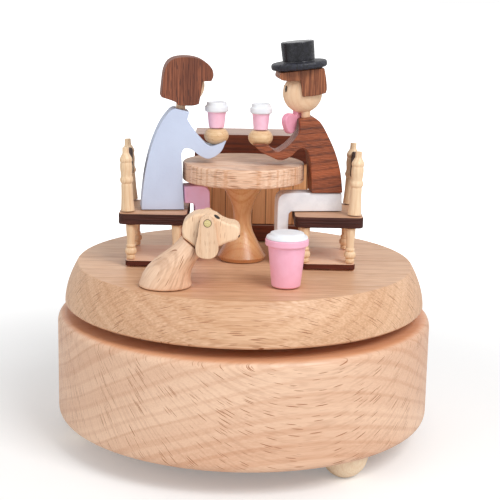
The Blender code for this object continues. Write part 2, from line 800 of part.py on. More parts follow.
def make_worm():
    """A single-start worm with a two-bladed fan, which slows the train."""
    lead = math.pi * WORM_MODULE
    core = WORM_RADIUS - WORM_ROOT * WORM_MODULE
    crest = WORM_RADIUS + WORM_TIP * WORM_MODULE
    worm = rod(
        "governor_worm",
        (0, 0, WORM_FOOT - SEAT_GAP - CYLINDER_Z),
        (0, 0, BEDPLATE_TOP - SEAT_GAP - CYLINDER_Z),
        PIVOT_RADIUS,
        STEEL,
        10,
    )
    place(worm, (-WORM_X, WORM_Y, CYLINDER_Z))
    half = lead * WORM_TURNS * WORM_CORE_SHARE
    barrel = rod(
        "worm_core",
        (-WORM_X, WORM_Y, CYLINDER_Z - half),
        (-WORM_X, WORM_Y, CYLINDER_Z + half),
        core + WORM_BLEND,
        STEEL,
        12,
    )
    cut(worm, barrel, "UNION")
    steps = WORM_TURNS * 9
    bm = bmesh.new()
    rings = []
    for step in range(steps + 1):
        angle = 2 * math.pi * WORM_TURNS * step / steps
        middle = lead * WORM_TURNS * (step / steps - 0.5)
        way = (math.cos(angle + math.pi / 2), math.sin(angle + math.pi / 2))
        section = (
            (core - WORM_BLEND, middle - 0.26 * lead),
            (crest, middle - 0.1 * lead),
            (crest, middle + 0.1 * lead),
            (core - WORM_BLEND, middle + 0.26 * lead),
        )
        rings.append([bm.verts.new((way[0] * r, way[1] * r, z)) for r, z in section])
    skin_rings(bm, rings)
    thread = place(finish_mesh("worm_thread", bm, STEEL), (-WORM_X, WORM_Y, CYLINDER_Z))
    cut(worm, thread, "UNION")
    top = BEDPLATE_BOTTOM - RUNNING_GAP
    fan = plate(
        "worm_fan",
        (-WORM_X - FAN_RADIUS, WORM_Y - FAN_THICKNESS / 2, top - FAN_HEIGHT),
        (-WORM_X + FAN_RADIUS, WORM_Y + FAN_THICKNESS / 2, top),
        BRASS,
    )
    cut(worm, fan, "UNION")


make_bedplate()
make_barrel()
make_mainspring()
make_shaft()
make_drive_wheel()
make_note_cylinder()
make_comb()
make_governor()
make_worm()

# Turntable


def make_turntable():
    bore = SHAFT_RADIUS + SEAT_GAP
    depth = SHAFT_SOCKET + SEAT_GAP
    fall = TURNTABLE_RADIUS - TURNTABLE_TOP_RADIUS
    rise = TURNTABLE_THICKNESS - EDGE_BREAK
    side = [
        (TURNTABLE_RADIUS - fall * share**TURNTABLE_FLARE, EDGE_BREAK + rise * share)
        for share in (1.0, 0.8, 0.55, 0.3, 0.0)
    ]
    profile = [(0, TURNTABLE_THICKNESS), *side, (TURNTABLE_RADIUS - EDGE_BREAK, 0), (bore, 0)]
    profile += [(bore, depth), (0, depth)]
    place(turned("turntable", profile, BEECH, 48), (0, 0, TURNTABLE_BOTTOM))


def make_flange():
    bore = SHAFT_RADIUS + SEAT_GAP
    flange = turned(
        "shaft_flange",
        [
            (bore, FLANGE_THICKNESS),
            (FLANGE_RADIUS, FLANGE_THICKNESS),
            (FLANGE_RADIUS, FLANGE_THICKNESS / 2),
            (FLANGE_RADIUS / 2, 0),
            (bore, 0),
        ],
        BRASS,
        20,
    )
    place(flange, (0, 0, TURNTABLE_BOTTOM - SEAT_GAP - FLANGE_THICKNESS))


make_turntable()
make_flange()

# Table


def make_table():
    thickness = TABLE_THICKNESS
    edge = EDGE_BREAK
    top = turned(
        "table_top",
        [
            (0, thickness),
            (TABLE_RADIUS - edge, thickness),
            (TABLE_RADIUS, thickness - edge),
            (TABLE_RADIUS, edge),
            (TABLE_RADIUS - edge, 0),
            (0, 0),
        ],
        BEECH,
        36,
    )
    place(top, (TABLE_CENTRE_X, 0, TABLE_TOP - thickness))
    height = TABLE_HEIGHT - thickness - 2 * SEAT_GAP
    swell = PEDESTAL_BASE_RADIUS - PEDESTAL_WAIST_RADIUS
    spread = PEDESTAL_TOP_RADIUS - PEDESTAL_WAIST_RADIUS
    shape = (
        (1.0, PEDESTAL_TOP_RADIUS),
        (0.86, PEDESTAL_WAIST_RADIUS + 0.62 * spread),
        (0.75, PEDESTAL_WAIST_RADIUS + 0.26 * spread),
        (0.64, PEDESTAL_WAIST_RADIUS + 0.06 * spread),
        (0.53, PEDESTAL_WAIST_RADIUS),
        (0.40, PEDESTAL_WAIST_RADIUS + 0.08 * swell),
        (0.27, PEDESTAL_WAIST_RADIUS + 0.36 * swell),
        (0.13, PEDESTAL_WAIST_RADIUS + 0.76 * swell),
        (0.05, PEDESTAL_BASE_RADIUS),
        (0.0, PEDESTAL_BASE_RADIUS - edge),
    )
    profile = [(0, height)] + [(radius, share * height) for share, radius in shape] + [(0, 0)]
    pedestal = turned("table_pedestal", profile, HONEY_WOOD, 20)
    place(pedestal, (TABLE_CENTRE_X, 0, FLOOR + SEAT_GAP))


make_table()

# Chairs


def spindle(name, shape, length, thickest, look, segments):
    """A turned stick. Its shape gives (share of the length, share of the radius) pairs."""
    profile = [(0, length)]
    profile += [(radius * thickest, share * length) for share, radius in reversed(shape)]
    profile += [(0, 0)]
    return turned(name, profile, look, segments)


LEG_SHAPE = ((0, 0.85), (0.12, 0.85), (0.15, 1.15), (0.3, 1.15), (0.36, 0.85), (1, 1.0))
POST_SHAPE = (
    (0, 1.12),
    (0.14, 1.02),
    (0.41, 0.92),
    (0.46, 1.08),
    (0.52, 1.05),
    (0.56, 0.92),
    (0.68, 1.02),
    (0.765, 0.93),
    (0.81, 1.04),
    (0.9, 0.58),
    (1, 0.53),
)


def make_chair(side, centre_x, outward, back_shift=0.0, back_lean=POST_LEAN):
    """A chair on a floor plate. Its back is on the outward side, +1 for right, -1 for left."""
    middle = SEAT_FRONT + SEAT_DEPTH / 2
    seat = block(f"{side}_seat", (SEAT_LENGTH, SEAT_DEPTH, SEAT_THICKNESS), PLYWOOD, PLATE_EDGE)
    place(seat, (centre_x + outward * SEAT_SHIFT, middle, SEAT_TOP - SEAT_THICKNESS))
    floor_plate = block(
        f"{side}_floor_plate", (PLATE_LENGTH, PLATE_DEPTH, PLATE_THICKNESS), PLYWOOD, PLATE_EDGE
    )
    plate_x = centre_x + outward * PLATE_SHIFT
    place(floor_plate, (plate_x, PLATE_FRONT + PLATE_DEPTH / 2, FLOOR + SEAT_GAP))
    leg_foot = FLOOR + SEAT_GAP + PLATE_THICKNESS + SEAT_GAP
    leg_length = SEAT_TOP - SEAT_THICKNESS - SEAT_GAP - leg_foot
    front = SEAT_FRONT + LEG_INSET
    back = PLATE_FRONT + PLATE_DEPTH - LEG_INSET
    for number, (x, y) in enumerate(((-1, front), (1, front), (-1, back), (1, back)), 1):
        leg = spindle(f"{side}_leg_{number}", LEG_SHAPE, leg_length, LEG_RADIUS, PALE_WOOD, 8)
        place(leg, (centre_x + x * LEG_SPACING / 2, y, leg_foot))
    post_x = centre_x + outward * POST_OFFSET
    foot_radius = POST_RADIUS * POST_SHAPE[0][1]
    posts = (
        ("front", POST_FRONT, 0.0, POST_LEAN),
        ("back", POST_FRONT + POST_SPACING, back_shift, back_lean),
    )
    for place_name, y, shift, lean in posts:
        post = spindle(
            f"{side}_post_{place_name}", POST_SHAPE, POST_HEIGHT, POST_RADIUS, PALE_WOOD, 8
        )
        foot = SEAT_TOP + SEAT_GAP + foot_radius * math.tan(math.radians(lean))
        place(post, (post_x + outward * shift, y, foot), tilt=outward * lean)
    gap = POST_RADIUS + SEAT_GAP
    low = POST_FRONT + gap
    high = POST_FRONT + POST_SPACING - gap
    outline = [
        (low, BACK_PANEL_LOW),
        (high, BACK_PANEL_LOW),
        (high, BACK_PANEL_HIGH - BACK_PANEL_CROWN),
    ]
    outline += [
        (
            low + (high - low) * (1 - step / 6),
            BACK_PANEL_HIGH - BACK_PANEL_CROWN * (1 - math.sin(math.pi * step / 6)),
        )
        for step in range(1, 6)
    ]
    outline += [(low, BACK_PANEL_HIGH - BACK_PANEL_CROWN)]
    panel = cut_out(f"{side}_back_panel", outline, BACK_PANEL_THICKNESS, PLYWOOD)
    panel.data.transform(Matrix.Rotation(math.radians(90), 4, "Z"))
    place(panel, (post_x, 0, SEAT_TOP + SEAT_GAP), tilt=outward * POST_LEAN)


make_chair("left", LEFT_CHAIR_X, -1, LEFT_BACK_POST_SHIFT, LEFT_BACK_POST_LEAN)
make_chair("right", RIGHT_CHAIR_X, 1)

# Figures, drawn in units from the figure's own line and above its seat

CORNER = "corner"
DRESS = (
    (-13.8, 0.3, CORNER), (-13.5, 5.5), (-12.4, 13.5), (-10.5, 21.0), (-7.9, 27.2), (-4.9, 31.3),
    (-3.5, 32.1, CORNER), (1.0, 31.0, CORNER), (0.4, 28.7, CORNER), (2.6, 25.3), (5.0, 22.4),
    (7.6, 20.3), (10.0, 20.8), (12.6, 22.0, CORNER), (10.8, 18.4), (7.2, 16.4), (4.2, 17.5),
    (1.6, 19.4), (-0.4, 19.6), (-1.4, 18.0, CORNER), (-0.4, 0.3, CORNER),
)
LEFT_TROUSERS = (
    (-0.2, 2.1, CORNER), (-0.5, 7.6, CORNER), (5.6, 7.6), (7.3, 6.6), (7.8, 4.6),
    (7.9, -14.3, CORNER), (3.2, -14.3, CORNER), (3.1, 0.8), (2.4, 2.0),
)
LEFT_HAIR = (
    (-7.8, 35.6, CORNER), (-3.4, 34.1), (-2.5, 33.1, CORNER), (1.8, 33.0), (3.9, 33.5, CORNER),
    (4.4, 36.5), (5.0, 40.5, CORNER), (7.7, 40.6, CORNER), (8.3, 42.4), (7.7, 44.6), (5.4, 46.7),
    (2.0, 47.8), (-2.7, 47.7), (-5.4, 46.4), (-6.8, 43.7), (-7.4, 39.5),
)
COAT = (
    (-2.9, 29.4, CORNER), (1.8, 30.0, CORNER), (3.7, 28.5), (6.0, 24.8), (8.8, 18.9),
    (10.6, 12.8), (11.5, 6.3, CORNER), (1.6, 6.3, CORNER), (1.3, 12.0), (0.5, 18.2),
    (-1.0, 20.2), (-3.0, 19.9), (-5.2, 17.9), (-8.4, 16.6), (-11.6, 17.7), (-15.0, 19.4),
    (-17.2, 21.6, CORNER), (-13.2, 21.6), (-9.7, 19.3), (-7.2, 20.4), (-4.5, 22.9), (-2.8, 25.6),
)
RIGHT_TROUSERS = (
    (11.6, 0.3, CORNER), (11.4, 6.0, CORNER), (-6.4, 6.0), (-8.2, 5.2), (-8.9, 3.2),
    (-8.8, -14.3, CORNER), (-5.4, -14.3, CORNER), (-5.4, -0.7), (-4.6, 0.3, CORNER),
)
RIGHT_HAIR = (
    (-9.3, 43.7, CORNER), (-9.5, 42.1), (-8.2, 41.3), (-2.9, 41.3, CORNER),
    (-2.2, 36.4, CORNER), (1.7, 36.8), (5.0, 37.6, CORNER), (5.3, 39.0), (4.9, 42.5),
    (4.3, 45.3, CORNER),
)
LEFT_HEAD = (0.3, 38.9)
RIGHT_HEAD = (-1.5, 37.2)
LEFT_NECK = (-1.4, 31.8)
RIGHT_NECK = (-0.3, 29.7)
LEFT_HAND = (9.9, 23.2)
RIGHT_HAND = (-14.4, 23.2)
HAT_SEAT = (-2.7, 44.85)
BOW_KNOT = (-4.5, 28.1)
RIGHT_COLLAR = -2.9


def drawn(point):
    """A place on a drawing, as a place in the figure's own frame."""
    return Vector((point[0], 0, point[1])) * DRAWING_UNIT


def ball(name, radius, half_height, flat_top, look, segments=14, steps=6):
    """A turned bead about Z, with its top cut flat at this height above the middle."""
    start = math.degrees(math.asin(min(flat_top / half_height, 1)))
    angles = [start - (start + 90) * step / steps for step in range(steps)]
    profile = [(0, half_height * math.sin(math.radians(start)))]
    profile += [
        (radius * math.cos(math.radians(a)), half_height * math.sin(math.radians(a)))
        for a in angles
        if math.cos(math.radians(a)) > 1e-3
    ]
    profile += [(0, -half_height)]
    return turned(name, profile, look, segments)


def head_shape(name, look, head_radius, spare=0.0, segments=16, steps=8):
    """A round head, a little flatter from front to back of the board."""
    radius = head_radius + spare
    made = ball(name, radius, radius, radius, look, segments, steps)
    made.data.transform(Matrix.Diagonal((1, (HEAD_DEPTH / 2 + spare) / radius, 1, 1)))
    return made


def neck_rod(name, head, neck, spare):
    """The neck from its hole in the garment up into the head."""
    low = drawn(neck)
    high = Vector((low.x, 0, drawn(head).z - NECK_OVERLAP))
    low.z -= NECK_HOLE_DEPTH + spare
    return rod(name, low, high, NECK_RADIUS + spare)


def make_head(side, head, neck, radius, figure):
    made = place(head_shape(f"{side}_head", PALE_WOOD, radius), drawn(head), parent=figure)
    stem = place(neck_rod(f"{side}_neck", head, neck, 0.0), parent=figure)
    cut(made, stem, "UNION")


def neck_hole(garment, head, neck, figure):
    """The hole that the neck goes through."""
    hole = neck_rod(f"{garment.name}_neck_hole", head, neck, SEAT_GAP)
    cut(garment, place(hole, parent=figure))


def make_hair(side, outline, head, radius, figure):
    """A block of hair with a pocket for the head."""
    hair = cut_out(f"{side}_hair", flowing(outline, 2), HAIR_THICKNESS, WALNUT, HAIR_EDGE, 1)
    place(hair, parent=figure)
    pocket = head_shape(f"{side}_hair_pocket", WALNUT, radius, SEAT_GAP, 14, 7)
    cut(hair, place(pocket, drawn(head), parent=figure))
    return hair


def make_hand_and_cup(side, hand, cup_scale, sleeve, figure):
    """A bead for both hands, seated in the sleeve, with a small lidded cup on top."""
    flat = HAND_FLAT
    bead = ball(f"{side}_hands", HAND_RADIUS, HAND_HEIGHT / 2, flat, PALE_WOOD)
    place(bead, drawn(hand), parent=figure)
    hollow = HAND_HEIGHT / 2 + SEAT_GAP
    seat = ball(f"{side}_hands_seat", HAND_RADIUS + SEAT_GAP, hollow, hollow, PALE_WOOD)
    cut(sleeve, place(seat, drawn(hand), parent=figure))
    rim = HAND_CUP_RADIUS * cup_scale
    tall = HAND_CUP_HEIGHT
    profile = [
        (0, tall),
        (rim * 0.82, tall),
        (rim * 0.88, tall * 0.87),
        (rim, tall * 0.8),
        (rim, tall * 0.67),
        (rim * 0.78, tall * 0.6),
        (rim * 0.64, 0),
        (0, 0),
    ]
    cup = turned(f"{side}_hand_cup", profile, PINK, 16)
    place(cup, drawn(hand) + Vector((0, 0, flat + SEAT_GAP)), parent=figure)


def make_left_guest():
    figure = holder("left_guest", (LEFT_GUEST_X, FIGURE_Y, SEAT_TOP), FIGURE_YAW)
    dress = cut_out("left_dress", flowing(DRESS, 2), FIGURE_THICKNESS, PALE_BLUE, GARMENT_EDGE, 1)
    place(dress, parent=figure)
    legs = cut_out(
        "left_trousers", flowing(LEFT_TROUSERS, 2), TROUSER_THICKNESS, PINK, TROUSER_EDGE, 1
    )
    place(legs, parent=figure)
    hair = make_hair("left", LEFT_HAIR, LEFT_HEAD, LEFT_HEAD_RADIUS, figure)
    make_head("left", LEFT_HEAD, LEFT_NECK, LEFT_HEAD_RADIUS, figure)
    for garment in (dress, hair):
        neck_hole(garment, LEFT_HEAD, LEFT_NECK, figure)
    make_hand_and_cup("left", LEFT_HAND, 1.0, dress, figure)


def make_hat(figure):
    crown = HAT_CROWN_RADIUS
    brim = HAT_BRIM_RADIUS
    edge = HAT_BRIM / 3
    tall = HAT_BRIM + HAT_CROWN_HEIGHT
    profile = [
        (0, tall),
        (crown - 0.0003, tall),
        (crown, tall - 0.0003),
        (crown, HAT_BRIM),
        (brim - edge, HAT_BRIM),
        (brim, HAT_BRIM - edge),
        (brim, edge),
        (brim - edge, 0),
        (0, 0),
    ]
    hat = turned("right_hat", profile, BLACK, 20)
    place(hat, drawn(HAT_SEAT), tilt=HAT_TILT, parent=figure)


def make_bow(figure):
    """A bow tie whose far wing is notched to pass behind the collar."""
    half = BOW_LENGTH / 2 / DRAWING_UNIT
    tall = BOW_HEIGHT / 2 / DRAWING_UNIT
    wing = ((0.0, 0.42), (0.3, 0.78), (0.62, 1.0), (0.92, 0.75), (1.0, 0.0))
    upper = [(half * x, tall * z) for x, z in wing]
    outline = upper + [(x, -z) for x, z in reversed(upper[:-1])]
    outline += [(-x, -z) for x, z in upper[1:]] + [(-x, z) for x, z in reversed(upper[1:-1])]
    bow = cut_out("right_bow_tie", flowing(outline, 2), BOW_THICKNESS, PINK)
    place(bow, drawn(BOW_KNOT), BOW_YAW, parent=figure)
    reach = BOW_LENGTH
    notch = block("bow_notch", (reach, FIGURE_THICKNESS + 2 * SEAT_GAP, reach), PINK)
    collar = drawn((RIGHT_COLLAR, RIGHT_NECK[1]))
    notch_x = collar.x - SEAT_GAP + reach / 2
    place(notch, (notch_x, 0, collar.z + 2 * SEAT_GAP - reach), parent=figure)
    cut(bow, notch)


def make_right_guest():
    figure = holder("right_guest", (RIGHT_GUEST_X, FIGURE_Y, SEAT_TOP), FIGURE_YAW)
    coat = cut_out("right_coat", flowing(COAT, 2), FIGURE_THICKNESS, WALNUT, GARMENT_EDGE, 1)
    place(coat, parent=figure)
    legs = cut_out(
        "right_trousers", flowing(RIGHT_TROUSERS, 2), TROUSER_THICKNESS, WHITE, TROUSER_EDGE, 1
    )
    place(legs, parent=figure)
    make_hair("right", RIGHT_HAIR, RIGHT_HEAD, RIGHT_HEAD_RADIUS, figure)
    make_head("right", RIGHT_HEAD, RIGHT_NECK, RIGHT_HEAD_RADIUS, figure)
    neck_hole(coat, RIGHT_HEAD, RIGHT_NECK, figure)
    make_hand_and_cup("right", RIGHT_HAND, RIGHT_CUP_SCALE, coat, figure)
    make_hat(figure)
    make_bow(figure)


make_left_guest()
make_right_guest()

# Counter


def make_counter():
    middle = COUNTER_FRONT + COUNTER_DEPTH / 2
    inset = 2 * COUNTER_RECESS
    plinth = block("counter_plinth", (COUNTER_WIDTH, COUNTER_DEPTH, PLINTH_HEIGHT), DARK_WALNUT)
    place(plinth, (0, middle, FLOOR + SEAT_GAP))
    panel_foot = FLOOR + SEAT_GAP + PLINTH_HEIGHT + SEAT_GAP
    panel = block(
        "counter_panel", (COUNTER_WIDTH - inset, COUNTER_DEPTH - inset, PANEL_HEIGHT), HONEY_WOOD
    )
    place(panel, (0, middle, panel_foot))
    top = block(
        "counter_top",
        (COUNTER_WIDTH, COUNTER_DEPTH, COUNTER_TOP_HEIGHT),
        DARK_WALNUT,
        COUNTER_EDGE,
    )
    place(top, (0, middle, panel_foot + PANEL_HEIGHT + SEAT_GAP))


make_counter()

# Dog, drawn in units from its own middle and above the turntable

DOG_SECTIONS = (
    (0.0, -8.2, 7.4, 1.0), (2.0, -7.6, 7.1, 0.98), (4.5, -6.5, 7.3, 0.93), (7.0, -4.4, 8.4, 0.85),
    (9.2, -1.7, 9.9, 0.75), (11.6, 1.4, 10.6, 0.66), (14.6, 4.2, 10.9, 0.62),
    (17.0, 5.2, 11.0, 0.6),
)
DOG_HEAD = (
    (4.9, 15.1, CORNER), (4.5, 17.1), (5.0, 19.3), (6.4, 20.9), (8.4, 22.0), (11.3, 22.3),
    (14.0, 21.7), (16.0, 20.4), (18.0, 19.6), (19.8, 19.3), (21.0, 18.4), (21.4, 17.0),
    (20.9, 15.3), (19.8, 14.4), (17.6, 13.7), (15.4, 12.6), (11.6, 10.9), (10.0, 11.0, CORNER),
)
DOG_EAR = (
    (11.2, 22.2), (9.8, 20.7), (9.1, 16.1), (8.5, 12.7), (9.2, 10.2), (11.5, 9.4), (13.9, 9.8),
    (15.2, 11.8), (14.8, 15.6), (14.0, 19.6), (12.8, 21.9),
)
DOG_NECK_POINT = (6.5, 13.4)
DOG_NECK_SLOPE = 38.5
DOG_PEG = (12.0, 19.9)


def make_dog():
    dog = holder("dog", (DOG_X, DOG_Y, FLOOR + SEAT_GAP))
    bm = bmesh.new()
    rings = []
    for height, low, high, width in DOG_SECTIONS:
        middle = (low + high) / 2 * DRAWING_UNIT
        half_length = (high - low) / 2 * DRAWING_UNIT
        half_width = width * DOG_BODY_WIDTH / 2
        rings.append(
            [
                bm.verts.new(
                    (
                        middle + half_length * math.cos(2 * math.pi * k / DOG_BODY_POINTS),
                        half_width * math.sin(2 * math.pi * k / DOG_BODY_POINTS),
                        height * DRAWING_UNIT,
                    )
                )
                for k in range(DOG_BODY_POINTS)
            ]
        )
    skin_rings(bm, rings)
    slope = math.radians(DOG_NECK_SLOPE)
    normal = Vector((math.sin(slope), 0, math.cos(slope)))
    geometry = list(bm.verts) + list(bm.edges) + list(bm.faces)
    sliced = bmesh.ops.bisect_plane(
        bm, geom=geometry, plane_co=drawn(DOG_NECK_POINT), plane_no=normal, clear_outer=True
    )["geom_cut"]
    rim = [part for part in sliced if isinstance(part, bmesh.types.BMEdge)]
    bmesh.ops.holes_fill(bm, edges=rim)
    place(finish_mesh("dog_body", bm, OAK), parent=dog)
    head = cut_out("dog_head", flowing(DOG_HEAD, 2), DOG_HEAD_WIDTH, OAK, DOG_HEAD_EDGE, 1)
    place(head, parent=dog)
    ear_y = DOG_HEAD_WIDTH / 2 + SEAT_GAP + DOG_EAR_THICKNESS / 2
    peg_place = drawn(DOG_PEG)
    pieces = [head]
    for side, y in (("near", -ear_y), ("far", ear_y)):
        ear = cut_out(f"dog_ear_{side}", flowing(DOG_EAR, 2), DOG_EAR_THICKNESS, OAK)
        pieces.append(place(ear, (0, y, 0), parent=dog))
    reach = Vector((0, ear_y + DOG_EAR_THICKNESS / 2 + SEAT_GAP, 0))
    for piece in pieces:
        hole = rod(
            f"{piece.name}_peg_hole",
            peg_place - reach * HOLE_EXCESS,
            peg_place + reach * HOLE_EXCESS,
            DOG_PEG_RADIUS + SEAT_GAP / 2,
            OAK,
            10,
        )
        cut(piece, place(hole, parent=dog))
    peg = rod(
        "dog_ear_peg", peg_place - reach, peg_place + reach, DOG_PEG_RADIUS, PALE_WOOD, 10
    )
    place(peg, parent=dog)


make_dog()

# Large cup


def make_large_cup():
    step = CUP_RIM_RADIUS - CUP_TOP_RADIUS
    body = turned(
        "large_cup",
        [
            (0, CUP_HEIGHT),
            (CUP_RIM_RADIUS - step / 2, CUP_HEIGHT),
            (CUP_RIM_RADIUS, CUP_HEIGHT - CUP_RIM_EDGE),
            (CUP_RIM_RADIUS - step / 3, CUP_HEIGHT - CUP_RIM_HEIGHT + CUP_RIM_EDGE),
            (CUP_TOP_RADIUS, CUP_HEIGHT - CUP_RIM_HEIGHT),
            (CUP_BASE_RADIUS, 0),
            (0, 0),
        ],
        PINK,
        24,
    )
    place(body, (CUP_X, CUP_Y, FLOOR + SEAT_GAP))
    lid = turned(
        "large_cup_lid",
        [
            (0, CUP_LID_HEIGHT),
            (CUP_LID_DISC - step / 3, CUP_LID_HEIGHT),
            (CUP_LID_DISC, CUP_LID_HEIGHT * 0.85),
            (CUP_LID_DISC, CUP_LID_HEIGHT * 0.6),
            (CUP_RIM_RADIUS - step / 2, CUP_LID_HEIGHT * 0.5),
            (CUP_RIM_RADIUS, CUP_LID_HEIGHT * 0.25),
            (CUP_RIM_RADIUS - step / 2, 0),
            (0, 0),
        ],
        WHITE,
        24,
    )
    place(lid, (CUP_X, CUP_Y, FLOOR + SEAT_GAP + CUP_HEIGHT + SEAT_GAP))


make_large_cup()
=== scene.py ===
# %% [markdown]
# # A wooden music box
# The real object is a desk ornament turned and sawn from beech, maple and walnut. Its base
# holds a comb and cylinder movement, and its turntable carries a small cafe scene.
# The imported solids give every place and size. This lesson loads them first, and then builds
# a finely shaped and finished piece over each solid that shows. Places are in metres, as in
# the frame, and drawings are in millimetres, as on a workshop sheet.

# %% Load the frame
import math

import bmesh
import bpy
from mathutils import Matrix, Vector
from mathutils.bvhtree import BVHTree


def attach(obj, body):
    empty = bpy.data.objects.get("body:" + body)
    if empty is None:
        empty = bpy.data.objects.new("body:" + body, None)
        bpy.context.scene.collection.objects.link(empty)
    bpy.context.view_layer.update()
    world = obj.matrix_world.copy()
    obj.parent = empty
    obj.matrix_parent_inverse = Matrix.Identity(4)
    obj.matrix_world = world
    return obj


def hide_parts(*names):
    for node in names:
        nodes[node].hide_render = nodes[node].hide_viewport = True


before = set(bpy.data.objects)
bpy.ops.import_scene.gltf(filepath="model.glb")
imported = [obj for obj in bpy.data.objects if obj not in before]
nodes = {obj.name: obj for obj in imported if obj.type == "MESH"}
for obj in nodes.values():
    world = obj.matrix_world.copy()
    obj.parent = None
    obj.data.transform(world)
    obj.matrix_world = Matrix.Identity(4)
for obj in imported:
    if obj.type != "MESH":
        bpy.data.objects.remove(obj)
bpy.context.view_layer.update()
MM = 0.001

# %% [markdown]
# ## Camera
# A product photograph is taken from a little above, with a long lens, so that a round base
# stays nearly true. A Blender camera looks along its own -Z axis. It is tilted up from
# straight down, rolled by a degree, and shifted a little, because the object doesn't stand
# quite in the middle of the frame.

# %% Camera
CAMERA_PLACE = Vector((-0.0013, -0.4021, 0.1496))
CAMERA_DIP = 12.44
CAMERA_ROLL = 1.06


def turned(degrees, axis):
    """A turn about an axis."""
    return Matrix.Rotation(math.radians(degrees), 4, axis)


lens = bpy.data.cameras.new("studio_camera")
lens.sensor_width = 36.0
lens.lens = 91.82
lens.shift_x = 0.0183
lens.shift_y = 0.0003
lens.clip_start = 0.01
camera = bpy.data.objects.new("studio_camera", lens)
bpy.context.scene.collection.objects.link(camera)
aim = turned(90 - CAMERA_DIP, "X") @ turned(CAMERA_ROLL, "Z")
camera.matrix_world = Matrix.Translation(CAMERA_PLACE) @ aim
bpy.context.scene.camera = camera
bpy.context.scene.view_settings.view_transform = "Standard"
print("camera", [round(value, 3) for value in CAMERA_PLACE])

# %% [markdown]
# ## Nodes from code
# A material is a small network of nodes, and a few helpers keep each network readable. The
# first fills a node's sockets, with values or with links from other nodes, and the second
# adds a node. The next give the results of the nodes that are used most: a sum or another
# reckoning, a change of range, a mix of colours, and noise. The last start a node group,
# which is a network with inputs and outputs of its own that many materials can share, and
# a material. Colours are written as 0 to 255, as on a screen, and turned into the linear
# light that Blender works in.

# %% Node helpers
def feed(node, inputs):
    """Fills sockets, by name or number, with a value, a socket or a node's first output."""
    for name, value in inputs.items():
        if isinstance(value, bpy.types.Node):
            value = value.outputs[0]
        if isinstance(value, bpy.types.NodeSocket):
            node.id_data.links.new(value, node.inputs[name])
        else:
            node.inputs[name].default_value = value


def put(tree, kind, inputs=None, **settings):
    """Adds a shader node with its settings and inputs."""
    node = tree.nodes.new("ShaderNode" + kind)
    for name, value in settings.items():
        setattr(node, name, value)
    feed(node, inputs or {})
    return node


def reckon(tree, operation, *values, clamp=False):
    """The result of a Math node."""
    node = put(tree, "Math", dict(enumerate(values)), operation=operation, use_clamp=clamp)
    return node.outputs[0]


def between(tree, value, low, high, start=0.0, end=1.0):
    """Brings a value from the range low to high into the range start to end."""
    ends = {1: low, 2: high, 3: start, 4: end}
    return put(tree, "MapRange", {0: value, **ends}, interpolation_type="SMOOTHSTEP").outputs[0]


def shade(red, green, blue):
    """A screen colour from 0 to 255, as linear light."""
    values = [part / 255 for part in (red, green, blue)]
    return (*[v / 12.92 if v < 0.04045 else ((v + 0.055) / 1.055) ** 2.4 for v in values], 1.0)


def blend(tree, share, first, second):
    """A colour between two colours, each of which is a link or a screen colour."""
    node = put(tree, "Mix", {0: share}, data_type="RGBA")
    for number, end in ((6, first), (7, second)):
        feed(node, {number: end if isinstance(end, bpy.types.NodeSocket) else shade(*end)})
    return node.outputs[2]


def noise(tree, place, scale, detail):
    """Soft noise, mostly between 0.3 and 0.7."""
    return put(tree, "TexNoise", {"Vector": place, "Scale": scale, "Detail": detail}).outputs[0]


def new_group(name, inputs, outputs):
    """An empty node group. Each input has a usual value, and each output is a number."""
    group = bpy.data.node_groups.new(name, "ShaderNodeTree")
    for label, value in inputs.items():
        kind = "NodeSocketVector" if isinstance(value, tuple) else "NodeSocketFloat"
        made = group.interface.new_socket(label, in_out="INPUT", socket_type=kind)
        made.default_value = value
    for label in outputs:
        group.interface.new_socket(label, in_out="OUTPUT", socket_type="NodeSocketFloat")
    return group, group.nodes.new("NodeGroupInput").outputs, group.nodes.new("NodeGroupOutput")


def new_material(name):
    """A material, with its nodes and its Principled shader."""
    made = bpy.data.materials.new(name)
    made.use_nodes = True
    return made, made.node_tree, made.node_tree.nodes["Principled BSDF"]


print("a mid grey in linear light", round(shade(128, 128, 128)[0], 3))

# %% [markdown]
# ## Floor, sky and lamps
# The studio is a white table in white light. The world is a soft grey dome for the object,
# and plain white where the camera, or a reflection, sees it directly. The floor is lit by
# the same lamps, so it keeps the object's soft shadow, and a little glow that only the
# camera sees lifts it to the white of the backdrop. The glow grows with the distance.
# A large lamp high on the right gives the wood its form, and a weaker one on the left keeps
# the shaded side open.

# %% Floor, sky and lamps
WHITE = (1.0, 1.0, 1.0, 1.0)
bm = bmesh.new()
bmesh.ops.create_grid(bm, x_segments=2, y_segments=2, size=6.0)
floor_mesh = bpy.data.meshes.new("studio_floor")
bm.to_mesh(floor_mesh)
bm.free()
floor = bpy.data.objects.new("studio_floor", floor_mesh)
bpy.context.scene.collection.objects.link(floor)

floor_look, tree, shader = new_material("studio_floor")
feed(shader, {"Base Color": (0.86, 0.86, 0.86, 1.0), "Roughness": 0.9, "Specular IOR Level": 0.1})
spot = put(tree, "TexCoord").outputs["Object"]
away = put(tree, "VectorMath", {0: spot}, operation="LENGTH").outputs["Value"]
glow = put(tree, "Emission", {"Color": WHITE, "Strength": between(tree, away, 0.10, 0.40, 0.22)})
lifted = put(tree, "AddShader", {0: shader, 1: glow})
camera_ray = put(tree, "LightPath").outputs["Is Camera Ray"]
seen = put(tree, "MixShader", {0: camera_ray, 1: shader, 2: lifted})
feed(tree.nodes["Material Output"], {"Surface": seen})
floor_mesh.materials.append(floor_look)

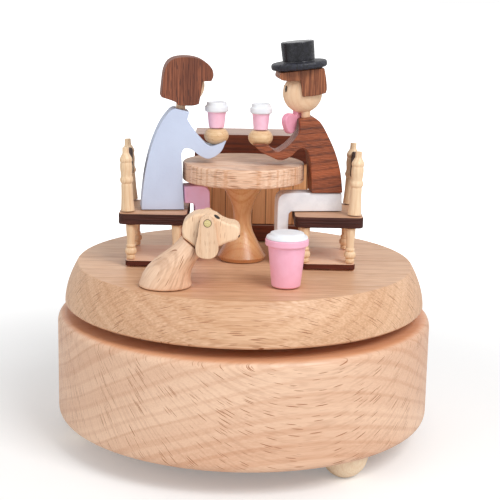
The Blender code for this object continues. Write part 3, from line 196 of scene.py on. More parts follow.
sky = bpy.data.worlds.new("studio_sky")
sky.use_nodes = True
tree = sky.node_tree
dome = tree.nodes["Background"]
feed(dome, {"Color": WHITE, "Strength": 0.52})
backdrop = put(tree, "Background", {"Color": WHITE, "Strength": 1.0})
rays = put(tree, "LightPath").outputs
direct = reckon(tree, "MAXIMUM", rays["Is Camera Ray"], rays["Is Glossy Ray"])
direct = reckon(tree, "MAXIMUM", direct, rays["Is Transmission Ray"])
shown = put(tree, "MixShader", {0: direct, 1: dome, 2: backdrop})
feed(tree.nodes["World Output"], {"Surface": shown})
bpy.context.scene.world = sky


def add_lamp(name, place, size, power):
    """A square lamp that faces the middle of the object."""
    lamp = bpy.data.lights.new(name, "AREA")
    lamp.size = size
    lamp.energy = power
    made = bpy.data.objects.new(name, lamp)
    made.location = place
    made.rotation_euler = (Vector((0, 0, 0.06)) - Vector(place)).to_track_quat("-Z", "Y").to_euler()
    bpy.context.scene.collection.objects.link(made)


add_lamp("key_lamp", (0.42, -0.55, 0.75), 0.45, 5.4)
add_lamp("fill_lamp", (-0.70, -0.55, 0.35), 0.60, 1.2)

# %% [markdown]
# ## How wood is drawn
# Wood is solid, so its figure is worked out in three dimensions and the surface only cuts
# through it. A plank is a piece of a log: the growth rings are shells round the heart line,
# and they show as arches on the front and as arcs on the end grain. The group measures each
# point's distance from a heart line that runs along X, bends it with slow noise, and reads
# rings and uneven bands off that distance: a wave gives each year its darker late wood, and
# noise makes the years unlike. Stretched noise adds the fine fibres along the grain.

# %% Wood figure group
def from_heart(tree, place):
    """A place's x, y and z, and its distance from the heart line."""
    x, y, z = put(tree, "SeparateXYZ", {0: place}).outputs
    across = put(tree, "CombineXYZ", {1: y, 2: z})
    return x, y, z, put(tree, "VectorMath", {0: across}, operation="LENGTH").outputs["Value"]


def stretched(tree, place, along, width):
    """A place for noise whose threads run along X, each about as thick as the width."""
    x, y, z = put(tree, "SeparateXYZ", {0: place}).outputs
    thread = reckon(tree, "DIVIDE", 1.0, width)
    x = reckon(tree, "MULTIPLY", x, along)
    y = reckon(tree, "MULTIPLY", y, thread)
    return put(tree, "CombineXYZ", {0: x, 1: y, 2: reckon(tree, "MULTIPLY", z, thread)})


figure_group, given, result = new_group(
    "wood_figure",
    {"Place": (0, 0, 0), "Ring Width": 0.002, "Wander": 0.006, "Fibre Width": 0.0004},
    ["Rings", "Bands", "Fibres"],
)
tree = figure_group
slow = put(tree, "Mapping", {"Vector": given["Place"], "Scale": (9, 22, 22)})
drift = reckon(tree, "SUBTRACT", noise(tree, slow, 1.0, 1.0), 0.5)
x, _, _, radius = from_heart(tree, given["Place"])
bent = reckon(tree, "ADD", radius, reckon(tree, "MULTIPLY", drift, given["Wander"]))
rings = reckon(tree, "DIVIDE", bent, given["Ring Width"])
along = reckon(tree, "MULTIPLY", x, 6.0)
years = noise(tree, put(tree, "CombineXYZ", {0: along, 1: rings}), 0.8, 2.0)
swing = reckon(tree, "MULTIPLY_ADD", rings, 2 * math.pi, reckon(tree, "MULTIPLY", years, 6.0))
wave = between(tree, reckon(tree, "SINE", swing), -0.1, 1.0)
late = reckon(tree, "MULTIPLY", reckon(tree, "MULTIPLY", wave, wave), 0.75)
loose = reckon(tree, "MULTIPLY", between(tree, years, 0.38, 0.66), 0.5)
band_place = put(tree, "CombineXYZ", {0: along, 1: reckon(tree, "MULTIPLY", rings, 0.22), 2: 7.0})
fibres = noise(tree, stretched(tree, given["Place"], 90.0, given["Fibre Width"]), 1.0, 3.0)
feed(result, {
    "Rings": reckon(tree, "ADD", late, loose),
    "Bands": between(tree, noise(tree, band_place, 1.0, 1.0), 0.32, 0.68),
    "Fibres": between(tree, fibres, 0.30, 0.70),
})
print(figure_group.name, len(figure_group.nodes), "nodes")

# %% [markdown]
# ## Beech flecks
# Beech is known by its flecks. They are flat rays that run from the heart outwards, a few
# millimetres high along the grain and only a hair thick. A saw cut across them shows short
# brown dashes, and the end grain shows them as fine lines that point at the heart.
# The group scatters flat cells in the same heart coordinates as the rings, and keeps a share
# of them, each with a size of its own. Finer rays fill the wood between them as thin, faint
# lines, and a second output gives those.

# %% Fleck group
fleck_group, given, result = new_group(
    "ray_flecks",
    {"Place": (0, 0, 0), "Length": 0.0062, "Depth": 0.0077, "Turns": 600.0, "Share": 0.5},
    ["Flecks", "Ray Lines"],
)
tree = fleck_group
x, y, z, radius = from_heart(tree, given["Place"])
across = reckon(tree, "MULTIPLY", reckon(tree, "ARCTAN2", z, y), given["Turns"])
sway = reckon(tree, "MULTIPLY", noise(tree, given["Place"], 60.0, 1.0), 1.6)
cells = put(tree, "CombineXYZ", {
    0: reckon(tree, "DIVIDE", x, given["Length"]),
    1: reckon(tree, "DIVIDE", radius, given["Depth"]),
    2: reckon(tree, "ADD", across, sway),
})
flat_cells = put(tree, "TexVoronoi", {"Vector": cells, "Scale": 1.0})
draw = put(tree, "SeparateColor", {0: flat_cells.outputs["Color"]})
reach = reckon(tree, "MULTIPLY_ADD", draw.outputs[1], 0.16, 0.20)
mark = between(tree, reckon(tree, "SUBTRACT", reach, flat_cells.outputs["Distance"]), 0.0, 0.09)
kept = reckon(tree, "LESS_THAN", draw.outputs[0], given["Share"])
thin = put(tree, "Mapping", {"Vector": cells, "Scale": (1.1, 0.5, 0.55)})
feed(result, {
    "Flecks": reckon(tree, "MULTIPLY", mark, kept),
    "Ray Lines": between(tree, noise(tree, thin, 1.0, 1.0), 0.48, 0.70),
})
print(fleck_group.name, len(fleck_group.nodes), "nodes")

# %% [markdown]
# ## Wood finishes
# One recipe serves every bare wood here. It lays the log along the grain of the piece, asks
# the two groups for their masks, and mixes a pale and a dark tone by them. The flecks show
# on sawn sides more than on a sanded top, so the surface's own normal thins them there.
# A satin lacquer lies over the wood: the fibres change its gloss a little, and a weak bump
# lets the light catch the grain. A tint can be laid over a finished wood.

# %% Wood recipe
FLECK_PITCH = 0.00024
ALONG = {
    "X": (0.0, 0.0, 0.0), "Y": (0.0, 0.0, math.radians(-90)), "Z": (0.0, math.radians(90), 0.0),
    "rising": (0.0, math.radians(55), 0.0),
}


def surface(tree, shader, colour, rough, height, relief, depth):
    """Joins a colour, a roughness and a relief to a material's shader."""
    bump = put(tree, "Bump", {"Strength": relief, "Distance": depth, "Height": height})
    feed(shader, {"Base Color": colour, "Roughness": rough, "Normal": bump})


def wood(
    name, pale, dark, grain="X", heart=(0, 0.075, 0.13), ring=0.0022, wander=0.006,
    fibre=0.0004, strength=(0.30, 0.30, 0.25), fleck=None, share=0.5, gloss=0.42, relief=0.15,
    fleck_size=1.0, top_flecks=0.3, heading=0, away=0.06, lines=0.0, shine=0.5,
):
    """Bare wood under satin lacquer. Heart is the heart line's place across the grain, away
    is about how far the wood that shows lies from it, and gloss is about its roughness."""
    made, tree, shader = new_material(name)
    spot = put(tree, "TexCoord").outputs
    turn = Vector(ALONG[grain]) + Vector((0, 0, math.radians(-heading)))
    lay = {"Location": [-value for value in heart], "Rotation": turn}
    laid = put(tree, "Mapping", {"Vector": spot["Object"], **lay})
    widths = {"Ring Width": ring, "Wander": wander, "Fibre Width": fibre}
    figure = put(tree, "Group", {"Place": laid, **widths}, node_tree=figure_group).outputs
    parts = [
        reckon(tree, "MULTIPLY", figure[label], weight)
        for label, weight in zip(("Rings", "Bands", "Fibres"), strength)
    ]
    tone = reckon(tree, "ADD", reckon(tree, "ADD", *parts[:2]), parts[2], clamp=True)
    colour = blend(tree, tone, pale, dark)
    height = figure["Fibres"]
    if fleck:
        turns = away / (FLECK_PITCH * fleck_size)
        rays = put(tree, "Group", {"Place": laid}, node_tree=fleck_group)
        for label in ("Length", "Depth"):
            rays.inputs[label].default_value *= fleck_size
        feed(rays, {"Share": share, "Turns": turns})
        facing = put(tree, "SeparateXYZ", {0: spot["Normal"]}).outputs[2]
        shown = between(tree, facing, 0.4, 0.9, 1.0, top_flecks)
        mark = reckon(tree, "MULTIPLY", rays.outputs["Flecks"], shown)
        if lines:
            faint = reckon(tree, "MULTIPLY", rays.outputs["Ray Lines"], lines)
            colour = blend(tree, faint, colour, fleck)
        colour = blend(tree, mark, colour, fleck)
        height = reckon(tree, "SUBTRACT", height, reckon(tree, "MULTIPLY", mark, 0.8))
    shader.inputs["Specular IOR Level"].default_value = shine
    rough = between(tree, figure["Fibres"], 0.0, 1.0, gloss - 0.05, gloss + 0.08)
    surface(tree, shader, colour, rough, height, relief, 0.3 * MM)
    return made


def place_along(made, axis):
    """A place's x, y or z, as a value in a material's nodes."""
    spot = put(made.node_tree, "TexCoord").outputs["Object"]
    return put(made.node_tree, "SeparateXYZ", {0: spot}).outputs["XYZ".index(axis)]


def tint(made, share, colour):
    """Lays a colour over a material's own, by a share from 0 to 1."""
    seen = made.node_tree.nodes["Principled BSDF"].inputs["Base Color"]
    under = seen.links[0].from_socket
    made.node_tree.links.new(blend(made.node_tree, share, under, colour), seen)


beech = wood(
    "beech", (246, 209, 179), (204, 147, 111), fleck=(170, 112, 76), heart=(0, 0.08, 0.22),
    ring=0.0038, strength=(0.28, 0.36, 0.16), heading=20, away=0.24, share=0.45, lines=0.2,
    fleck_size=1.1,
)
maple = wood(
    "maple", (250, 222, 186), (224, 184, 142), "Z", (0.02, 0.03, 0), ring=0.0012,
    strength=(0.30, 0.20, 0.40), gloss=0.45,
)
print("bare woods", beech.name, maple.name)

# %% [markdown]
# ## Handing a piece over
# Each visible piece is drawn as a BMesh, Blender's editable mesh. A last helper turns it
# into an object with its finishes, lets it ride with the body that carries it, and hides
# the imported solid that it stands for. Smooth shading is kept off edges sharper than 35
# degrees, and weighted normals keep the broad flat faces flat beside their rounded edges.
# Another helper gives the faces that a rule picks a second finish.

# %% Hand over
def hand_over(name, bm, looks, stands_for=(), slot=None, body="turntable"):
    """Makes the object of a finished BMesh and fits it into the frame."""
    bmesh.ops.remove_doubles(bm, verts=bm.verts, dist=1e-7)
    bmesh.ops.recalc_face_normals(bm, faces=bm.faces)
    mesh = bpy.data.meshes.new(name)
    bm.to_mesh(mesh)
    bm.free()
    for look in looks:
        mesh.materials.append(look)
    mesh.shade_smooth()
    mesh.set_sharp_from_angle(angle=math.radians(35))
    made = bpy.data.objects.new(name, mesh)
    bpy.context.scene.collection.objects.link(made)
    weighted = made.modifiers.new("flat_faces_stay_flat", "WEIGHTED_NORMAL")
    weighted.keep_sharp = True
    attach(made, body)
    if stands_for:
        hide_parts(*stands_for)
    return made


def second_finish(bm, rule):
    """Gives the faces for which the rule holds the second finish, and the others the first."""
    bm.normal_update()
    for face in bm.faces:
        face.material_index = int(rule(face, face.calc_center_median()))


print("helpers ready:", hand_over.__name__, second_finish.__name__)

# %% [markdown]
# ## Turning
# Half of this object comes off a lathe. In Blender a turned piece is a line of points in the
# XZ plane, spun round Z. The line is written with as few points as the maker would measure:
# a third value on a point rounds that corner with this radius, and a second helper runs a
# smooth curve through points where the shape flows.

# %% Turning helpers
def rounded(points, steps=6):
    """Softens each corner that gives a radius as its third value."""
    line = []
    for index, point in enumerate(points):
        here = Vector(point[:2])
        if len(point) == 2 or index in (0, len(points) - 1):
            line.append(here)
            continue
        back = Vector(points[index - 1][:2]) - here
        ahead = Vector(points[index + 1][:2]) - here
        reach = point[2] / math.tan(back.angle(ahead) / 2)
        start = here + back.normalized() * min(reach, 0.49 * back.length)
        end = here + ahead.normalized() * min(reach, 0.49 * ahead.length)
        for step in range(steps + 1):
            t = step / steps
            line.append(start * (1 - t) ** 2 + here * 2 * t * (1 - t) + end * t * t)
    return line


def flowing(points, steps=6, closed=True):
    """A smooth curve through the points. A point with a third value is a corner."""
    count = len(points)
    line = []
    for index in range(count if closed else count - 1):
        here, there = Vector(points[index][:2]), Vector(points[(index + 1) % count][:2])
        before = Vector(points[index - 1][:2])
        after = Vector(points[(index + 2) % count][:2])
        span = (there - here).length
        corner_here, corner_ahead = len(points[index]) == 3, len(points[(index + 1) % count]) == 3
        leave = there - here if corner_here else (there - before).normalized() * span
        arrive = there - here if corner_ahead else (after - here).normalized() * span
        straight = corner_here and corner_ahead
        for step in range(1 if straight else steps):
            t = step / steps
            line.append(
                here * (2 * t**3 - 3 * t**2 + 1) + leave * (t**3 - 2 * t**2 + t)
                + there * (3 * t**2 - 2 * t**3) + arrive * (t**3 - t**2)
            )
    if not closed:
        line.append(Vector(points[-1][:2]))
    return line


def lathe(line, centre=(0, 0, 0), segments=96):
    """Spins a line of (radius, height) points, in mm, and stands it on the centre, in m."""
    bm = bmesh.new()
    verts = [bm.verts.new((max(point[0], 0) * MM, 0, point[1] * MM)) for point in line]
    edges = [bm.edges.new(pair) for pair in zip(verts, verts[1:])]
    bmesh.ops.spin(
        bm, geom=verts + edges, cent=(0, 0, 0), axis=(0, 0, 1),
        angle=2 * math.pi, steps=segments, use_merge=True,
    )
    bmesh.ops.remove_doubles(bm, verts=bm.verts, dist=1e-7)
    bm.transform(Matrix.Translation(centre))
    return bm


print("a rounded corner has", len(rounded([(0, 1), (1, 1, 0.2), (1, 0)])), "points")

# %% [markdown]
# ## Base
# The base is one thick beech disc with softened edges, hollowed from below for the movement
# and closed by a thin cover in a recess. Its line runs round the whole section, so the
# hollow is there too when the piece is seen from below. Its top, which only shows in the
# gap under the turntable, is tinted a warmer brown: painted shade in that gap.

# %% Base
BASE_RADIUS = 60.0
BASE_BOTTOM = 8.2
BASE_TOP = 41.6
# Painted shade: the top of the base, inside the gap under the turntable, is tinted a warm brown.
tree = beech.node_tree
painted_gap_shade = between(tree, place_along(beech, "Z"), (BASE_TOP - 0.8) * MM, BASE_TOP * MM, 0.0, 0.6)
tint(beech, painted_gap_shade, (226, 150, 98))
base_line = rounded([
    (2.7, BASE_TOP), (BASE_RADIUS, BASE_TOP, 3.0), (BASE_RADIUS, BASE_BOTTOM, 3.0),
    (42.3, BASE_BOTTOM), (42.3, 10.9), (39.5, 10.9), (39.5, 35.6), (2.7, 35.6), (2.7, BASE_TOP),
], 8)
disc = lathe(base_line, segments=192)
base = hand_over("turned_base", disc, [beech], ["base_body"], "beech", "base")
print(base.name, len(base.data.polygons), "faces")

# %% [markdown]
# ## Turntable
# The turntable is a second beech disc on the shaft of the movement. Its side curves in
# towards a crisp upper edge, and a dark gap is left between it and the base. The side is
# sawn and flecked as the base's is, and the sanded top shows fine fibres, so it has a finish
# of its own with another part of the log. What stands on it sits on a hair's gap of glue.

# %% Turntable
TURNTABLE_BOTTOM = 0.0448
FLOOR = 0.0579
GAP = 0.0003
table_beech = wood(
    "turntable_beech", (240, 199, 163), (200, 148, 108), fleck=(156, 98, 60),
    heart=(0.03, 0.08, -0.10), ring=0.0030, strength=(0.22, 0.30, 0.42), share=0.48, away=0.20,
    lines=0.2, fleck_size=1.1,
)
side = [(57.6 - 4.05 * (step / 16) ** 1.8, 0.6 + 12.5 * step / 16) for step in range(17)]
turntable_line = rounded([
    (0, 13.1), (*side[-1], 0.7), *reversed(side[:-1]), (57.0, 0), (2.5, 0), (2.5, 3.3), (0, 3.3),
])
disc = lathe(turntable_line, (0, 0, TURNTABLE_BOTTOM), 192)
turntable = hand_over("turned_turntable", disc, [table_beech], ["turntable"], "beech")
print(turntable.name, len(turntable.data.polygons), "faces")

# %% [markdown]
# ## Feet
# Three small maple balls lift the base. Each is flat on top where it is glued on, and has a
# small flat below that it stands on. Their maple is painted paler than that of the chairs'
# sticks: painted light from the white floor right below them.

# %% Feet
FOOT_RADIUS = 7.3
FOOT_HEIGHT = 7.9
FOOT_FLAT = 1.8
FEET_CIRCLE = 0.0496
# Painted light: a paler copy of maple stands in for the light that the white floor throws on the
# feet.
floor_lit_foot_maple = wood(
    "foot_maple_floor_lit", (255, 234, 204), (238, 204, 166), "Z", (0.06, 0.02, 0), ring=0.0014,
    strength=(0.25, 0.20, 0.35), gloss=0.45,
)
last = math.acos(FOOT_FLAT / FOOT_RADIUS)
ball = [
    (
        FOOT_RADIUS * math.cos(last * k / 14),
        FOOT_HEIGHT * (1 - math.sin(last * k / 14) / math.sin(last)),
    )
    for k in range(15)
]
for number, angle in enumerate((-51, 69, 189), 1):
    around = math.radians(angle)
    place = (FEET_CIRCLE * math.cos(around), FEET_CIRCLE * math.sin(around), 0)
    foot = lathe([(0, FOOT_HEIGHT), *ball, (0, 0)], place, 48)
    hand_over(f"ball_foot_{number}", foot, [floor_lit_foot_maple], [f"foot_{number}"], "pale_wood", "base")
print("feet at a radius of", FEET_CIRCLE, "m")

# %% [markdown]
# ## Table
# The table top is a slice of beech, with its end grain to the left and a nearly square edge.
# It stands on a honey-coloured pedestal that flares to a foot below and to a plate above.
# The pedestal's grain runs up, and its lacquer is glossier than the rest. Its foot is painted
# darker: painted shade near the floor.

# %% Table
TABLE_X = -0.001
TABLE_TOP = 0.0898
TABLE_RADIUS = 19.27
TABLE_THICKNESS = 5.8
top_beech = wood(
    "table_beech", (255, 224, 198), (218, 160, 118), fleck=(150, 88, 50),
    heart=(0.05, 0.056, 0.084), ring=0.0014, strength=(0.40, 0.26, 0.36), share=0.7,
    fleck_size=0.9, away=0.075, lines=0.3,
)
honey = wood(
    "honey_wood", (255, 218, 166), (222, 156, 100), "Z", (0.03, 0.03, 0), ring=0.0012,
    wander=0.012, strength=(0.30, 0.35, 0.40), gloss=0.30, relief=0.08,
)
# Painted shade: the pedestal's colour darkens towards its foot.
painted_foot_shade = between(honey.node_tree, place_along(honey, "Z"), FLOOR + 0.001, FLOOR + 0.010, 0.75, 0.0)
tint(honey, painted_foot_shade, (176, 112, 66))
top_line = rounded([
    (0, TABLE_THICKNESS), (TABLE_RADIUS, TABLE_THICKNESS, 0.7), (TABLE_RADIUS, 0, 0.7), (0, 0),
])
top = lathe(top_line, (TABLE_X, 0, TABLE_TOP - TABLE_THICKNESS * MM), 128)
hand_over("turned_table_top", top, [top_beech], ["table_top"], "beech")
pedestal_line = flowing([
    (0, 0, 1), (7.2, 0, 1), (7.8, 1.2, 1), (6.6, 3.3), (4.6, 6.8), (3.2, 10.0), (2.8, 13.3),
    (3.06, 16.0), (3.9, 18.8), (5.5, 21.9), (7.2, 25.5, 1), (0, 25.5, 1),
], 7, closed=False)
pedestal = lathe(pedestal_line, (TABLE_X, 0, FLOOR + GAP), 64)
hand_over("turned_pedestal", pedestal, [honey], ["table_pedestal"], "honey_wood")
print("table top at", TABLE_TOP, "m")

# %% [markdown]
# ## Burnt edges
# The chairs' boards are cut by heat. The cut leaves every edge dark brown, and the top is
# pale wood. One mesh takes both finishes: faces that look up or down get the pale one, and
# the edges the burnt one. The burnt finish is the same wood recipe with dark tones, no
# flecks and less shine. The floor plates are thinner and of a warmer wood, and their edges
# are a redder brown.

# %% Board finishes
across_grain = {"heart": (0, 0.03, 0.02), "ring": 0.0016}
sanded = {**across_grain, "strength": (0.25, 0.25, 0.40), "gloss": 0.5}
charred = {
    **across_grain, "strength": (0.15, 0.35, 0.50), "gloss": 0.55, "relief": 0.5, "fibre": 0.0005,
}
board = wood("pale_board", (218, 172, 138), (170, 124, 92), **sanded)
floor_board = wood("warm_board", (255, 220, 190), (236, 182, 148), **sanded)
burnt = wood("burnt_edge", (74, 32, 22), (28, 9, 5), **charred, shine=0.32)
burnt_red = wood("burnt_plate_edge", (112, 50, 34), (54, 20, 12), **charred, shine=0.2)
print("board finishes", board.name, floor_board.name, burnt.name, burnt_red.name)

# %% [markdown]
# ## Sawn pieces
# The other half of the object is cut with a fretsaw: an outline, a thickness and rounded
# edges. The outline becomes one face, the face is extruded, and a bevel rounds the edges
# that turn sharply. The bevel is also what catches the light along a real sawn edge.

# %% Sawing helpers
def sawn(outline, thickness, rounding, rounds=4, flat=False):
    """A board of this outline, in mm, in XZ, or in XY where flat is set."""
    bm = bmesh.new()
    if flat:
        rim = [bm.verts.new((x * MM, y * MM, 0)) for x, y in outline]
        along = Vector((0, 0, thickness * MM))
    else:
        rim = [bm.verts.new((x * MM, -thickness * MM / 2, z * MM)) for x, z in outline]
        along = Vector((0, thickness * MM, 0))
    grown = bmesh.ops.extrude_face_region(bm, geom=[bm.faces.new(rim)])["geom"]
    moved = [part for part in grown if isinstance(part, bmesh.types.BMVert)]
    bmesh.ops.translate(bm, verts=moved, vec=along)
    bmesh.ops.recalc_face_normals(bm, faces=bm.faces)
    sharp = [edge for edge in bm.edges if edge.calc_face_angle(0) > math.radians(40)]
    bmesh.ops.bevel(
        bm, geom=sharp, offset=rounding * MM, segments=rounds, profile=0.5, affect="EDGES",
        clamp_overlap=True,
    )
    return bm


def box_outline(length, depth, corner):
    """A rectangle with rounded corners, as points in its plane."""
    half = (length / 2, depth / 2)
    ring = [(x * half[0], y * half[1], corner) for x, y in ((1, 1), (-1, 1), (-1, -1), (1, -1))]
    return rounded([(half[0], 0), *ring, (half[0], 0)], 5)[:-1]


def lying_board(size, corner, rounding, rounds, place, limit=0.8):
    """A board with its top at a place, and the second finish on its edges."""
    length, depth, thickness = size
    bm = sawn(box_outline(length, depth, corner), thickness, rounding, rounds, True)
    bm.transform(Matrix.Translation(Vector(place) - Vector((0, 0, thickness * MM))))
    second_finish(bm, lambda face, middle: abs(face.normal.z) <= limit)
    return bm


print("a board's outline has", len(box_outline(20, 10, 1)), "points")

# %% [markdown]
# ## Chairs
# Each chair is a seat and a floor plate of thin board, four turned legs between them, and
# two turned posts with a low back panel. The sticks are smaller than a match, but their
# beads and coves are what makes them look turned, so their line has every bead. The posts
# lean out by two degrees. The left chair's back post leans a little more, and stands a
# little further out.

# %% Chair sticks
LEG_LINE = [
    (0, 0, 1), (0.80, 0, 1), (0.92, 0.02), (0.96, 0.09), (0.80, 0.125, 1), (1.12, 0.16),
    (1.24, 0.22), (1.12, 0.29), (0.80, 0.335, 1), (0.97, 0.36), (0.97, 0.40), (0.80, 0.43, 1),
    (0.84, 0.60), (1.0, 0.85), (1.02, 1.0, 1), (0, 1.0, 1),
]
POST_LINE = [
    (0, 0, 1), (1.13, 0, 1), (1.10, 0.04), (1.02, 0.14), (0.95, 0.30), (0.93, 0.405),
    (0.88, 0.435, 1), (1.05, 0.46), (1.10, 0.49), (1.03, 0.52), (0.92, 0.55, 1), (0.95, 0.60),
    (1.02, 0.67), (0.99, 0.735), (0.93, 0.765, 1), (1.02, 0.785), (1.05, 0.81), (0.94, 0.84),
    (0.72, 0.88), (0.56, 0.91), (0.53, 0.95), (0.53, 1.0, 1), (0, 1.0, 1),
]


def stick(line, radius, length):
    """A small turned stick, from a line in shares of its radius and length."""
    spun = [(x * radius, z * length) for x, z in flowing(line, 4, closed=False)]
    return lathe(spun, segments=24)


print("a post's line has", len(flowing(POST_LINE, 4, closed=False)), "points")

# %% Chairs
SEAT_TOP = 0.0750
PLATE_TOP = 0.0601
SEAT_SIZE = (21.4, 26, 3.4)
PLATE_SIZE = (16.6, 24.3, 1.9)
LEG_SIZE = (1.5, 10.9)
LEG_SPREAD = 0.0071
LEGS_FRONT, LEGS_BACK = -0.0126, 0.0076
POST_SIZE = (1.9, 19.8)
POST_FOOT_RADIUS = 0.0021
POST_OUT = 0.0082
POST_LEAN = 2.0


def make_chair(side, chair_x, outward, back_shift, back_lean):
    """The chair of one side. Its back is on the outward side, 1 for right and -1 for left."""
    seat_place = (chair_x + outward * 0.0002, -0.002, SEAT_TOP)
    seat = lying_board(SEAT_SIZE, 2.2, 0.4, 3, seat_place)
    hand_over(f"{side}_chair_seat", seat, [board, burnt], [f"{side}_seat"], "plywood")
    plate_place = (chair_x + outward * 0.0005, -0.00215, PLATE_TOP)
    plate = lying_board(PLATE_SIZE, 1.8, 0.3, 2, plate_place)
    looks = [floor_board, burnt_red]
    hand_over(f"{side}_chair_plate", plate, looks, [f"{side}_floor_plate"], "plywood")
    corners = [(way, y) for y in (LEGS_FRONT, LEGS_BACK) for way in (-1, 1)]
    for number, (way, y) in enumerate(corners, 1):
        leg = stick(LEG_LINE, *LEG_SIZE)
        leg.transform(Matrix.Translation((chair_x + way * LEG_SPREAD, y, PLATE_TOP + GAP)))
        name = f"{side}_turned_leg_{number}"
        hand_over(name, leg, [maple], [f"{side}_leg_{number}"], "pale_wood")
    post_x = chair_x + outward * POST_OUT
    posts = (("front", -0.011, 0.0, POST_LEAN), ("back", 0.009, back_shift, back_lean))
    for spot, y, shift, degrees in posts:
        post = stick(POST_LINE, *POST_SIZE)
        lift = POST_FOOT_RADIUS * math.tan(math.radians(degrees))
        foot = (post_x + outward * shift, y, SEAT_TOP + GAP + lift)
        post.transform(Matrix.Translation(foot) @ turned(outward * degrees, "Y"))
        name = f"{side}_turned_post_{spot}"
        hand_over(name, post, [maple], [f"{side}_post_{spot}"], "pale_wood")
    panel = sawn(flowing([
        (-8.8, 9.5, 1), (6.8, 9.5, 1), (6.8, 17.0, 1), (2.9, 17.9), (-1.0, 18.2), (-4.9, 17.9),
        (-8.8, 17.0, 1),
    ]), 1.2, 0.2, 2)
    panel.transform(turned(90, "Z"))
    lean = turned(outward * POST_LEAN, "Y")
    panel.transform(Matrix.Translation((post_x, 0, SEAT_TOP + GAP)) @ lean)
    hand_over(f"{side}_chair_back", panel, [burnt], [f"{side}_back_panel"], "plywood")


make_chair("left", -0.0286, -1, 0.0006, 3.6)
make_chair("right", 0.0257, 1, 0.0, POST_LEAN)
print("chairs stand from", round(PLATE_TOP - PLATE_SIZE[2] * MM, 4), "to", SEAT_TOP + 0.0202, "m")

# %% [markdown]
# ## Painted wood
# The clothes and cups are painted. Paint hides the colour of the wood and keeps a little of
# its grain as relief, and it lies slightly unevenly. One group gives the uneven tone and the
# relief, and every paint sets its own colours and gloss.

# %% Paint group and recipe
paint_group, given, result = new_group(
    "paint_coat",
    {"Place": (0, 0, 0), "Cloud Size": 0.004, "Grain": 0.5},
    ["Clouds", "Relief"],
)
tree = paint_group
closer = reckon(tree, "DIVIDE", 1.0, given["Cloud Size"])
far = put(tree, "VectorMath", {0: given["Place"], "Scale": closer}, operation="SCALE")
drawn = put(tree, "Mapping", {"Vector": given["Place"], "Scale": (160, 2200, 2200)})
threads = reckon(tree, "MULTIPLY", noise(tree, drawn, 1.0, 2.0), given["Grain"])
feed(result, {
    "Clouds": between(tree, noise(tree, far, 1.0, 3.0), 0.3, 0.7),
    "Relief": reckon(tree, "ADD", threads, noise(tree, given["Place"], 1500.0, 1.0)),
})


def paint(name, colour, shadow, gloss=0.45, relief=0.12, cloud=0.004, lines=0.5):
    """Satin paint on wood with upright grain, between two close tones."""
    made, tree, shader = new_material(name)
    spot = put(tree, "TexCoord").outputs["Object"]
    laid = put(tree, "Mapping", {"Vector": spot, "Rotation": ALONG["Z"]})
    sizes = {"Cloud Size": cloud, "Grain": lines}
    coat = put(tree, "Group", {"Place": laid, **sizes}, node_tree=paint_group).outputs
    rough = between(tree, coat["Clouds"], 0.0, 1.0, gloss - 0.04, gloss + 0.08)
    mixed = blend(tree, coat["Clouds"], colour, shadow)
    surface(tree, shader, mixed, rough, coat["Relief"], relief, 0.2 * MM)
    return made


pale_blue = paint("pale_blue_paint", (205, 217, 241), (199, 210, 234), cloud=0.009)
leg_pink = paint("dusty_pink_paint", (255, 208, 242), (254, 196, 230))
cup_pink = paint("cup_pink_paint", (255, 192, 216), (250, 183, 206), gloss=0.38)
bow_pink = paint("bow_pink_paint", (246, 172, 194), (230, 152, 176), lines=1.0)
white = paint("white_paint", (248, 250, 254), (235, 237, 243), gloss=0.40)
black = paint("black_paint", (40, 39, 48), (8, 8, 13), gloss=0.24, relief=0.5, cloud=0.0014)
felt = paint("brim_black_paint", (38, 39, 54), (5, 5, 8), relief=1.0, cloud=0.0007)
ink = paint("ink_black", (18, 14, 13), (8, 6, 6), gloss=0.4, cloud=0.001)
coats = (pale_blue, leg_pink, cup_pink, bow_pink, white, black, felt, ink)
print("paints", [look.name for look in coats])

# %% [markdown]
# ## Walnut
# Walnut gives the hair and the coat. It is darker than beech, and its pores show as short
# dark streaks along the grain, which the fleck group can draw too. The hair's grain runs
# down, as combed strands would, and the coat's runs across, because both are cut from
# boards laid that way.

# %% Walnut finishes
hair_wood = wood(
    "walnut_hair", (176, 104, 70), (90, 42, 24), "Z", (0.02, 0.02, 0), ring=0.0011,
    wander=0.010, fibre=0.00028, strength=(0.14, 0.36, 0.62), fleck=(58, 26, 18), share=0.6,
    fleck_size=0.8, relief=0.4, gloss=0.5, away=0.03,
)
short_hair_wood = wood(
    "walnut_short_hair", (212, 136, 90), (108, 54, 30), "Z", (0.01, 0.02, 0), ring=0.0011,
    wander=0.008, fibre=0.00028, strength=(0.18, 0.36, 0.60), fleck=(70, 34, 22), share=0.6,
    fleck_size=0.7, relief=0.4, gloss=0.5, away=0.03,
)
coat_wood = wood(
    "walnut_coat", (184, 96, 52), (94, 42, 18), heart=(0, 0.02, 0.06), ring=0.0016,
    wander=0.010, fibre=0.0003, strength=(0.40, 0.34, 0.36), fleck=(64, 30, 20), share=0.30,
    fleck_size=0.6, relief=0.35, gloss=0.44, away=0.045,
)
print("walnut", hair_wood.name, short_hair_wood.name, coat_wood.name)

# %% [markdown]
# ## Figures
# The two guests are flat cut-outs with a little thickness, like the pieces of a toy theatre.
# Each stands on its own line at the edge of its seat, turned by seven degrees. Their outlines
# are drawn from that line and up from the seat, and the sawing helper gives them thickness
# and soft edges.

# %% Placing a figure
stand = {
    side: Matrix.Translation((x, -0.0033, SEAT_TOP)) @ turned(7, "Z")
    for side, x in (("left", -0.0195), ("right", 0.0185))
}


def move(x, y, z):
    """A shift by millimetres."""
    return Matrix.Translation((x * MM, y * MM, z * MM))


def drawn_piece(side, name, outline, thickness, rounding, look, stands_for, slot, rounds=4):
    """Saws a piece of a figure from its drawing and puts it in its place."""
    piece = sawn(flowing(outline), thickness, rounding, rounds)
    piece.transform(stand[side])
    return hand_over(name, piece, [look], [stands_for], slot)


